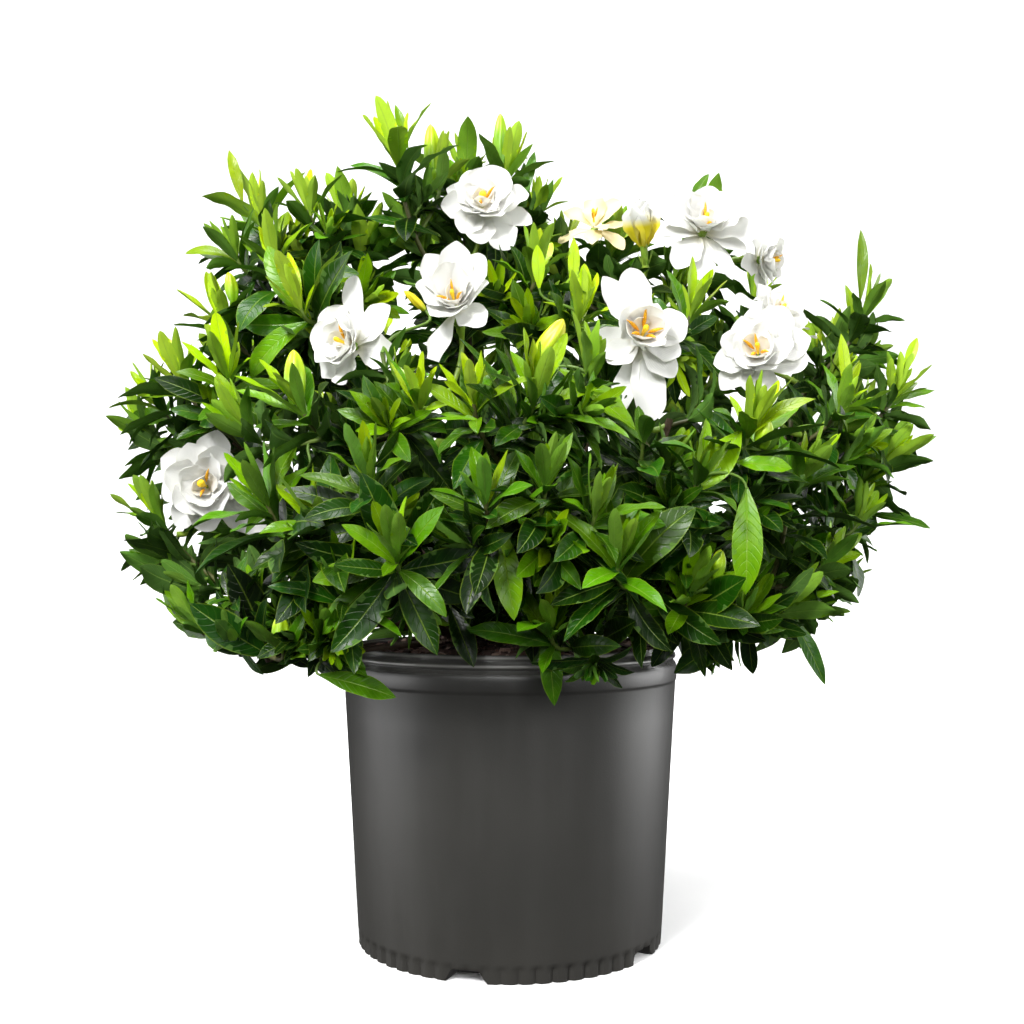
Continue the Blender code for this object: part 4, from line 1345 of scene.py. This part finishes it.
def grow_shoots(kept):
    """Each shoot: stem and side twigs, its lone leaves and buds, then rosettes of leaves."""
    plans = plan_twigs()
    shapes = {node: Shape() for node in plans}
    for row in LONE_LEAVES:
        node = nearest_shoot(plans, vec(row[0]))[0]
        add_lone_leaf(shapes[node], kept, plans, row)
    for base, tip, radius, ripeness in BUDS:
        base, tip = vec(base), vec(tip)
        node, start, start_way = nearest_shoot(plans, base)
        way = unit(tip - base)
        add_stalk(shapes[node], start, start_way, base + way, way, 1.3, 1.0)
        add_bud(shapes[node], base, way, np.linalg.norm(tip - base), radius, ripeness)
        kept.guard(base, tip, radius)
    start, end = vec(BARE_TWIG[0]), vec(BARE_TWIG[1])
    carrier = shapes[nearest_shoot(plans, end)[0]]
    end_way = unit(end - start + (0, 0, 12))
    add_stalk(carrier, start, unit(end - start), end, end_way, 2.4, 1.4, youth=0.0)
    for node, twigs in plans.items():
        dice = random.Random(node)
        shape = shapes[node]
        for order, twig in enumerate(twigs):
            tone = dice.random()
            add_tube(shape, twig.path, twig.radii, 8, slot=1, tone=tone, youth=0.25 if order == 0 else 0.6)
            size = dice.uniform(0.78, 1.05)
            # painted shade: exposure lowers the youth of leaves low in the plant, so their colour is darker
            # there; the lime of young tips is real
            youth = 0.55 + 0.41 * exposure(twig) + dice.gauss(0, 0.1)
            rosette(twig, shape, kept, dice, size, youth)
            spurs(twig, shape, kept, dice)
        surfaces = [MATERIALS["leaf"], MATERIALS["twig"], MATERIALS["bud"]]
        finish_piece(shape.build("foliage_" + node[-2:], surfaces, 62), node)


def exposure(twig):
    """How much light a twig's tip gets: 0 low in the plant, 1 near its top. It is used to paint shade into
    leaf colour.
    """
    return smooth(230, 430, twig.path[-1][2])


def spurs(twig, shape, kept, dice):
    """Short side spurs along a twig, each with a small rosette of its own."""
    if twig.length < 60:
        return
    for distance in np.arange(24, twig.length - 30, 16):
        spur = side_sprig(twig, distance, kept, dice, (0.8, 0.5, 0.35), (14, 26), 0.4, (1.2, 0.9))
        if spur:
            add_tube(shape, spur.path, spur.radii, 6, slot=1, tone=0.5, youth=0.8)
            size = dice.uniform(0.55, 0.8)
            # painted shade: spur leaves low in the plant get a lower youth and so a darker colour
            youth = 0.4 + 0.4 * exposure(spur) + dice.gauss(0, 0.15)
            rosette(spur, shape, kept, dice, size, youth)


# ---------------------------------------------------------------- blooms


def clock_way(facing, clock_deg):
    """The way across a bloom's face at a clock angle, where 0 is up."""
    up = unit(UP - facing * facing.dot(UP))
    right = np.cross(up, facing)
    turn = math.radians(clock_deg)
    return up * math.cos(turn) + right * math.sin(turn)


def add_petal(shape, heart, facing, clock, lift, length, half_width, bend, dice,
              back=0.0, point=0.3, cup=0.18, fade=0.0, gold=0.0):
    """One petal: lift and bend are in degrees, and back is how far behind the heart it starts."""
    out = clock_way(facing, clock)
    angle = math.radians(lift)
    way = unit(out * math.cos(angle) + facing * math.sin(angle))
    face = unit(facing * math.cos(angle) - out * math.sin(angle))
    half = petal_outline(PETAL_MARKS, point) * half_width
    half *= PETAL_SLIM * (1 + 0.05 * np.sin(PETAL_MARKS * dice.uniform(14, 24) + dice.uniform(0, 6)))
    wave = (dice.uniform(0.08, 0.24), dice.uniform(0.9, 2.2), dice.uniform(0, math.tau))
    bends = (math.radians(bend), dice.gauss(0, 0.12), math.radians(dice.gauss(0, 13)), math.radians(5))
    points, places = blade(
        heart - facing * back + out * 1.2, way, face, length, PETAL_MARKS, half, PETAL_COLUMNS,
        bends, wave, cup, 0.32, 0.12,
    )
    faces, under = PETAL_FACES
    shape.add(points, faces, places, slot=0, tone=dice.random(), under=under, youth=fade, gold=gold)


def whorl(shape, heart, facing, count, start, lift, length, half_width, bend, dice,
          back, cup, fade, gold=0.0):
    """A ring of petals that differ a little."""
    for index in range(count):
        add_petal(
            shape, heart, facing, start + 360 * index / count + dice.gauss(0, 7), lift + dice.gauss(0, 6),
            length * dice.uniform(0.88, 1.08), half_width * dice.uniform(0.88, 1.1), bend + dice.gauss(0, 9),
            dice, back, dice.uniform(0.0, 0.6), cup, fade, gold,
        )


# Outer petals that are known one by one: clock angle, lift, length, half width, bend.
KNOWN_PETALS = {
    "far_left": [
        (-50, 8, 36, 14, -6), (-90, 6, 30, 13, -12), (-138, 0, 33, 12, -20), (180, 6, 28, 12, -24),
        (128, -4, 45, 12.5, -8), (66, 6, 38, 13, -12), (14, 14, 37, 13.5, 4),
        (-20, 26, 31, 14, 8), (-70, 28, 28, 13.5, 8), (30, 26, 30, 13.5, 8), (85, 28, 29, 13, 10),
        (140, 28, 26, 12.5, 6), (-130, 28, 25, 12.5, 6), (180, 30, 24, 12, 6),
    ],
    "top": [
        (25, 16, 32, 14, 2), (72, 12, 33, 14, -4), (107, 4, 35, 10, -10), (150, 4, 37, 13, -12),
        (-47, 4, 31, 9, -18), (-82, 6, 28, 11, -16), (-145, 10, 26, 12, -10), (188, 8, 30, 12, -10),
        (-15, 14, 29, 13, 0), (50, 28, 28, 14, 8), (0, 30, 26, 13, 8), (100, 30, 26, 13, 8),
        (150, 30, 25, 13, 6), (-140, 32, 22, 12, 6), (-70, 30, 24, 12, 8),
    ],
    "middle_right": [
        (-27, 8, 43, 9.5, 4), (-8, 14, 42, 12, 2), (66, 12, 30, 12, 0), (84, 20, 28, 10, 4),
        (145, 8, 31, 11, -10), (120, 16, 26, 9, 0), (-102, 8, 29, 11.5, -10), (-130, 10, 26, 10, -12),
        (171, -2, 50, 12, -12), (196, -8, 54, 8.5, -12), (30, 34, 22, 9, 10), (-60, 34, 20, 9, 8),
    ],
    "right_front": [
        (-5, 10, 33, 10, 2), (-56, 8, 27, 12, -4), (-96, 6, 28, 12, -8), (-133, 2, 31, 11, -18),
        (164, 0, 34, 10, -14), (190, 8, 26, 10, -14), (104, 8, 31, 13, -8), (72, 10, 34, 13.5, -4),
        (30, 12, 36, 13.5, 2), (-30, 28, 27, 13, 8), (50, 28, 28, 13.5, 8), (100, 30, 26, 13, 8),
        (150, 30, 22, 12, 4), (-80, 30, 24, 12.5, 8), (-140, 30, 22, 12, 4),
    ],
    "middle_left": [
        (6, 10, 44, 10, 2), (56, 6, 36, 12, -4), (104, 0, 34, 12, -12), (-40, 18, 32, 13, -2),
        (-84, 14, 30, 13, -8), (-130, 12, 28, 12, -12), (176, 16, 27, 12, -4), (-20, 34, 27, 12.5, 12),
        (-75, 34, 26, 12.5, 12), (-130, 36, 24, 12, 12), (150, 34, 23, 12, 12), (60, 34, 24, 12, 10),
    ],
    "upper_left": [
        (-38, 38, 35, 11.5, 10), (2, 40, 38, 12, 8), (42, 38, 35, 11.5, 8), (86, 34, 27, 11, 4),
        (-84, 36, 27, 11, 6), (135, 14, 27, 11, -8), (-140, 28, 21, 10, 0), (178, 32, 21, 11, 4),
        (205, -14, 38, 8, -20), (-20, 52, 26, 11, 12), (25, 54, 26, 11, 12),
    ],
    "upper_right": [
        (-60, 8, 36, 12, -4), (-92, 0, 33, 10, -10), (150, -8, 40, 9, -16), (185, -12, 42, 10, -16),
        (218, -8, 35, 12, -12), (62, 20, 38, 13, 0), (92, 10, 40, 12, -6), (116, 0, 34, 10, -12),
        (-25, 20, 34, 12, 4), (15, 24, 34, 13, 6), (-45, 38, 28, 12, 10), (0, 40, 28, 12, 12),
        (45, 38, 30, 12.5, 10), (95, 36, 28, 12, 8), (-95, 34, 24, 11, 8),
    ],
    "fading": [
        (-80, 0, 36, 6, -30), (-50, 22, 30, 8, -20), (0, 32, 26, 10, -10), (40, 30, 30, 9, -22),
        (85, 10, 36, 8, -28), (130, 0, 30, 7, -34), (180, 10, 26, 8, -24), (-120, 8, 30, 7, -34),
        (150, 24, 24, 6, -16),
    ],
}


def build_flower(name, carriers):
    """One bloom with its stalk, flower tube, sepals, petals and stamens."""
    centre, facing, size = FLOWERS[name]
    node = "flower_" + name
    dice = random.Random(node)
    heart = vec(centre)
    facing = unit(vec(facing))
    shape = Shape()
    seat, leave = seat_of(node, carriers)
    foot = heart - facing * (CALYX_LENGTH * size + 6)
    stalk = np.vstack([seat - leave * 1.5, arched(seat + leave * 2.5, leave, foot, facing, 14)])
    tube = np.array([foot + facing * d for d in np.linspace(2, CALYX_LENGTH * size + 1, 8)])
    path = np.vstack([stalk, tube])
    slim = np.linspace(SHOOT_BASE_RADIUS, 1.5, len(stalk) - 2)
    girth = np.concatenate([slim, [1.9, 3.1], np.linspace(3.0, CALYX_RADIUS, 8) * size])
    add_tube(shape, path, girth, 10, slot=1)
    for index in range(6):
        out = clock_way(facing, 60 * index + dice.gauss(0, 6))
        start = foot + facing * 2 + out * 2.4 * size
        add_sepal(shape, start, unit(facing + out * 0.3), out, 14 * size, 1.1, slot=1)
    fade = 1.15 if name == "fading" else 0.0
    base = heart - facing * 6 * size
    known = KNOWN_PETALS.get(name)
    if known:
        for clock, lift, length, half, bend in known:
            point = dice.uniform(0.1, 0.9)
            add_petal(
                shape, base, facing, clock, lift, length, half, bend, dice,
                back=1.5 - lift * 0.1, point=point, fade=fade,
            )
    elif name == "half_open":
        whorl(shape, base, facing, 5, 0, 66, 38 * size, 15 * size, 30, dice, 4, 0.6, 0.0, 1.0)
        whorl(shape, base, facing, 4, 40, 74, 38 * size, 14 * size, 20, dice, 2, 0.6, 0.0, 1.0)
        whorl(shape, base, facing, 3, 10, 82, 36 * size, 10 * size, 8, dice, 0, 0.6, 0.0, 0.3)
    else:
        whorl(shape, base, facing, 6, 10, 6, 33 * size, 11.5 * size, -16, dice, 1.5, 0.12, fade)
        whorl(shape, base, facing, 5, 40, 28, 27 * size, 11 * size, 6, dice, -1.0, 0.2, fade * 0.8)
    if name not in ("half_open", "fading"):
        whorl(shape, base, facing, 5, 20, 42, 21 * size, 10.5 * size, 14, dice, -2.5, 0.16, 0.0)
        whorl(shape, base, facing, 3, 70, 56, 15 * size, 7.0 * size, 20, dice, -3.5, 0.2, 0.1)
    if name != "half_open":
        add_stamens(shape, base + facing * 5.0, facing, size, dice, *ANTHERS[name])
    surfaces = [MATERIALS[part] for part in ("petal", "calyx", "anther", "stigma")]
    piece = shape.build("bloom_" + name, surfaces, 60)
    finish_piece(piece, node)


# Anthers that show, and whether the stigma is a round yellow ball.
ANTHERS = {
    "top": (2, True), "far_left": (2, True), "upper_left": (3, False), "middle_left": (1, False),
    "middle_right": (5, False), "right_front": (4, False), "right_back": (2, False),
    "upper_right": (2, False), "nodding": (1, False), "fading": (2, False),
}


def add_stamens(shape, heart, facing, size, dice, anthers, ball):
    """Curved orange anthers, and a yellow stigma that is round on a ripe bloom."""
    knob = (1.2, 2.3, 2.6, 1.9, 0.5) if ball else (1.2, 1.5, 1.6, 1.2, 0.4)
    club = np.array([heart + facing * d * size for d in (0, 4, 7, 8.6, 10.4, 11.8, 12.6)])
    add_tube(shape, club, np.array([0.9, 0.9, *knob]) * size, 14, slot=3)
    for index in range(anthers):
        out = clock_way(facing, 360 * index / anthers + dice.gauss(15, 18))
        lean = dice.uniform(0.8, 1.6)
        start = heart + out * 2.4 * size + facing * 4 * size
        way = unit(facing * 1.4 + out * lean)
        end = start + way * dice.uniform(8.5, 12.5) * size
        path = arched(start, way, end, unit(way + out * 0.9), 8)
        add_tube(shape, path, np.array([0.3, 0.8, 1.05, 1.05, 1.0, 0.85, 0.55, 0.15]) * size, 8, slot=2)


def build_flowers():
    shoots = [f"leafy_shoot_{number:02d}" for number in range(1, len(SHOOTS) + 1)]
    carriers = surface_of(["woody_stems", *shoots])
    for name in FLOWERS:
        build_flower(name, carriers)


# ---------------------------------------------------------------- pieces, stage, lights, camera


def finish_piece(piece, node):
    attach(piece, BODY)
    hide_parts(node)


def build_stage():
    """A plain pale floor that curves up into a backdrop."""
    s = Shader("pale_floor")
    cloud = s.noise(1.5, 2.0, 0.5)
    s.set("Base Color", s.blend(cloud * 0.2, (0.93, 0.93, 0.93), (0.90, 0.90, 0.90)))
    s.set("Roughness", 0.9)
    s.set("Specular IOR Level", 0.1)
    points = []
    profile = [(-3000, 0), (1500, 0), (1900, 40), (2200, 180), (2400, 480), (2480, 900), (2500, 4000)]
    for x in (-5000, 5000):
        points += [(x, y, z) for y, z in profile]
    count = len(profile)
    faces = [(count + i, count + i + 1, i + 1, i) for i in range(count - 1)]
    shape = Shape()
    shape.add(points, faces)
    floor = shape.build("floor_sweep", [s.material], 80)
    return floor


MIDDLE, LOWER, POT = (0, 0, 0.33), (0, 0, 0.25), (0, 0, 0.2)
# Lamps on the plant: name, place, target, size, watts.
LIGHTS = [
    ("key", (-0.9, -1.7, 1.7), MIDDLE, (0.7, 0.7), 80),
    ("fill", (1.2, -1.6, 0.9), MIDDLE, (0.9, 0.9), 16),
    ("front_strip", (0, -2.3, 1.0), LOWER, (3.2, 0.3), 20),
    ("top", (-0.1, -0.1, 2.2), MIDDLE, (1.0, 1.0), 46),
    ("side_left", (-1.6, -0.1, 0.5), POT, (1.4, 1.4), 24),
    ("side_right", (1.6, 0.3, 0.5), POT, (1.3, 1.4), 30),
    ("back", (0.5, 2.2, 1.3), MIDDLE, (1.2, 1.2), 18),
]
BACKDROP_WASH = ("backdrop_wash", (0, -0.6, 2.9), (0, 2.2, 0.4), (4.0, 1.5), 125)
WORLD_STRENGTH = 0.08
LENS_MM = 43.2316
CAMERA_PLACE = (0.0014, -0.8603, 0.2569)
CAMERA_TILT_UP = 0.0404  # radians above level


def add_light(name, place, target, size, power):
    data = bpy.data.lights.new(name, "AREA")
    data.shape = "RECTANGLE"
    data.size, data.size_y = size
    data.energy = power
    made = bpy.data.objects.new(name, data)
    made.location = place
    made.rotation_euler = (Vector(target) - Vector(place)).to_track_quat("-Z", "Y").to_euler()
    bpy.context.scene.collection.objects.link(made)
    return made


def build_lights(floor):
    """Lamps and a dim white world; the floor has a wash of its own and adds nothing to the plant."""
    floor.visible_diffuse = False
    floor.visible_glossy = False
    for light in LIGHTS:
        add_light(*light)
    wash = add_light(*BACKDROP_WASH)
    share = bpy.data.collections.new("washed")
    share.objects.link(floor)
    wash.light_linking.receiver_collection = share
    world = bpy.data.worlds.new("studio")
    world.use_nodes = True
    background = world.node_tree.nodes["Background"]
    background.inputs["Color"].default_value = (1, 1, 1, 1)
    background.inputs["Strength"].default_value = WORLD_STRENGTH
    bpy.context.scene.world = world


def build_camera():
    data = bpy.data.cameras.new("camera")
    data.sensor_width = 36.0
    data.lens = LENS_MM
    data.clip_start = 0.05
    data.clip_end = 30
    camera = bpy.data.objects.new("camera", data)
    camera.location = CAMERA_PLACE
    camera.rotation_euler = (math.radians(90) + CAMERA_TILT_UP, 0, 0)
    bpy.context.scene.collection.objects.link(camera)
    bpy.context.scene.camera = camera
    bpy.context.scene.view_settings.view_transform = "Standard"


MATERIALS = {
    "pot": pot_material(),
    "mix": mix_material(),
    "bark": bark_material(),
    "twig": twig_material(),
    "leaf": leaf_material(),
    "petal": petal_material(),
    "calyx": calyx_material(),
    "bud": bud_material(),
    "anther": anther_material(),
    "stigma": stigma_material(),
}


def main():
    build_camera()
    build_lights(build_stage())
    build_pot()
    build_mix()
    build_woody_stems()
    build_flowers()
    kept = Kept()
    grow_shoots(kept)
    grow_inner_leaves(kept)


main()
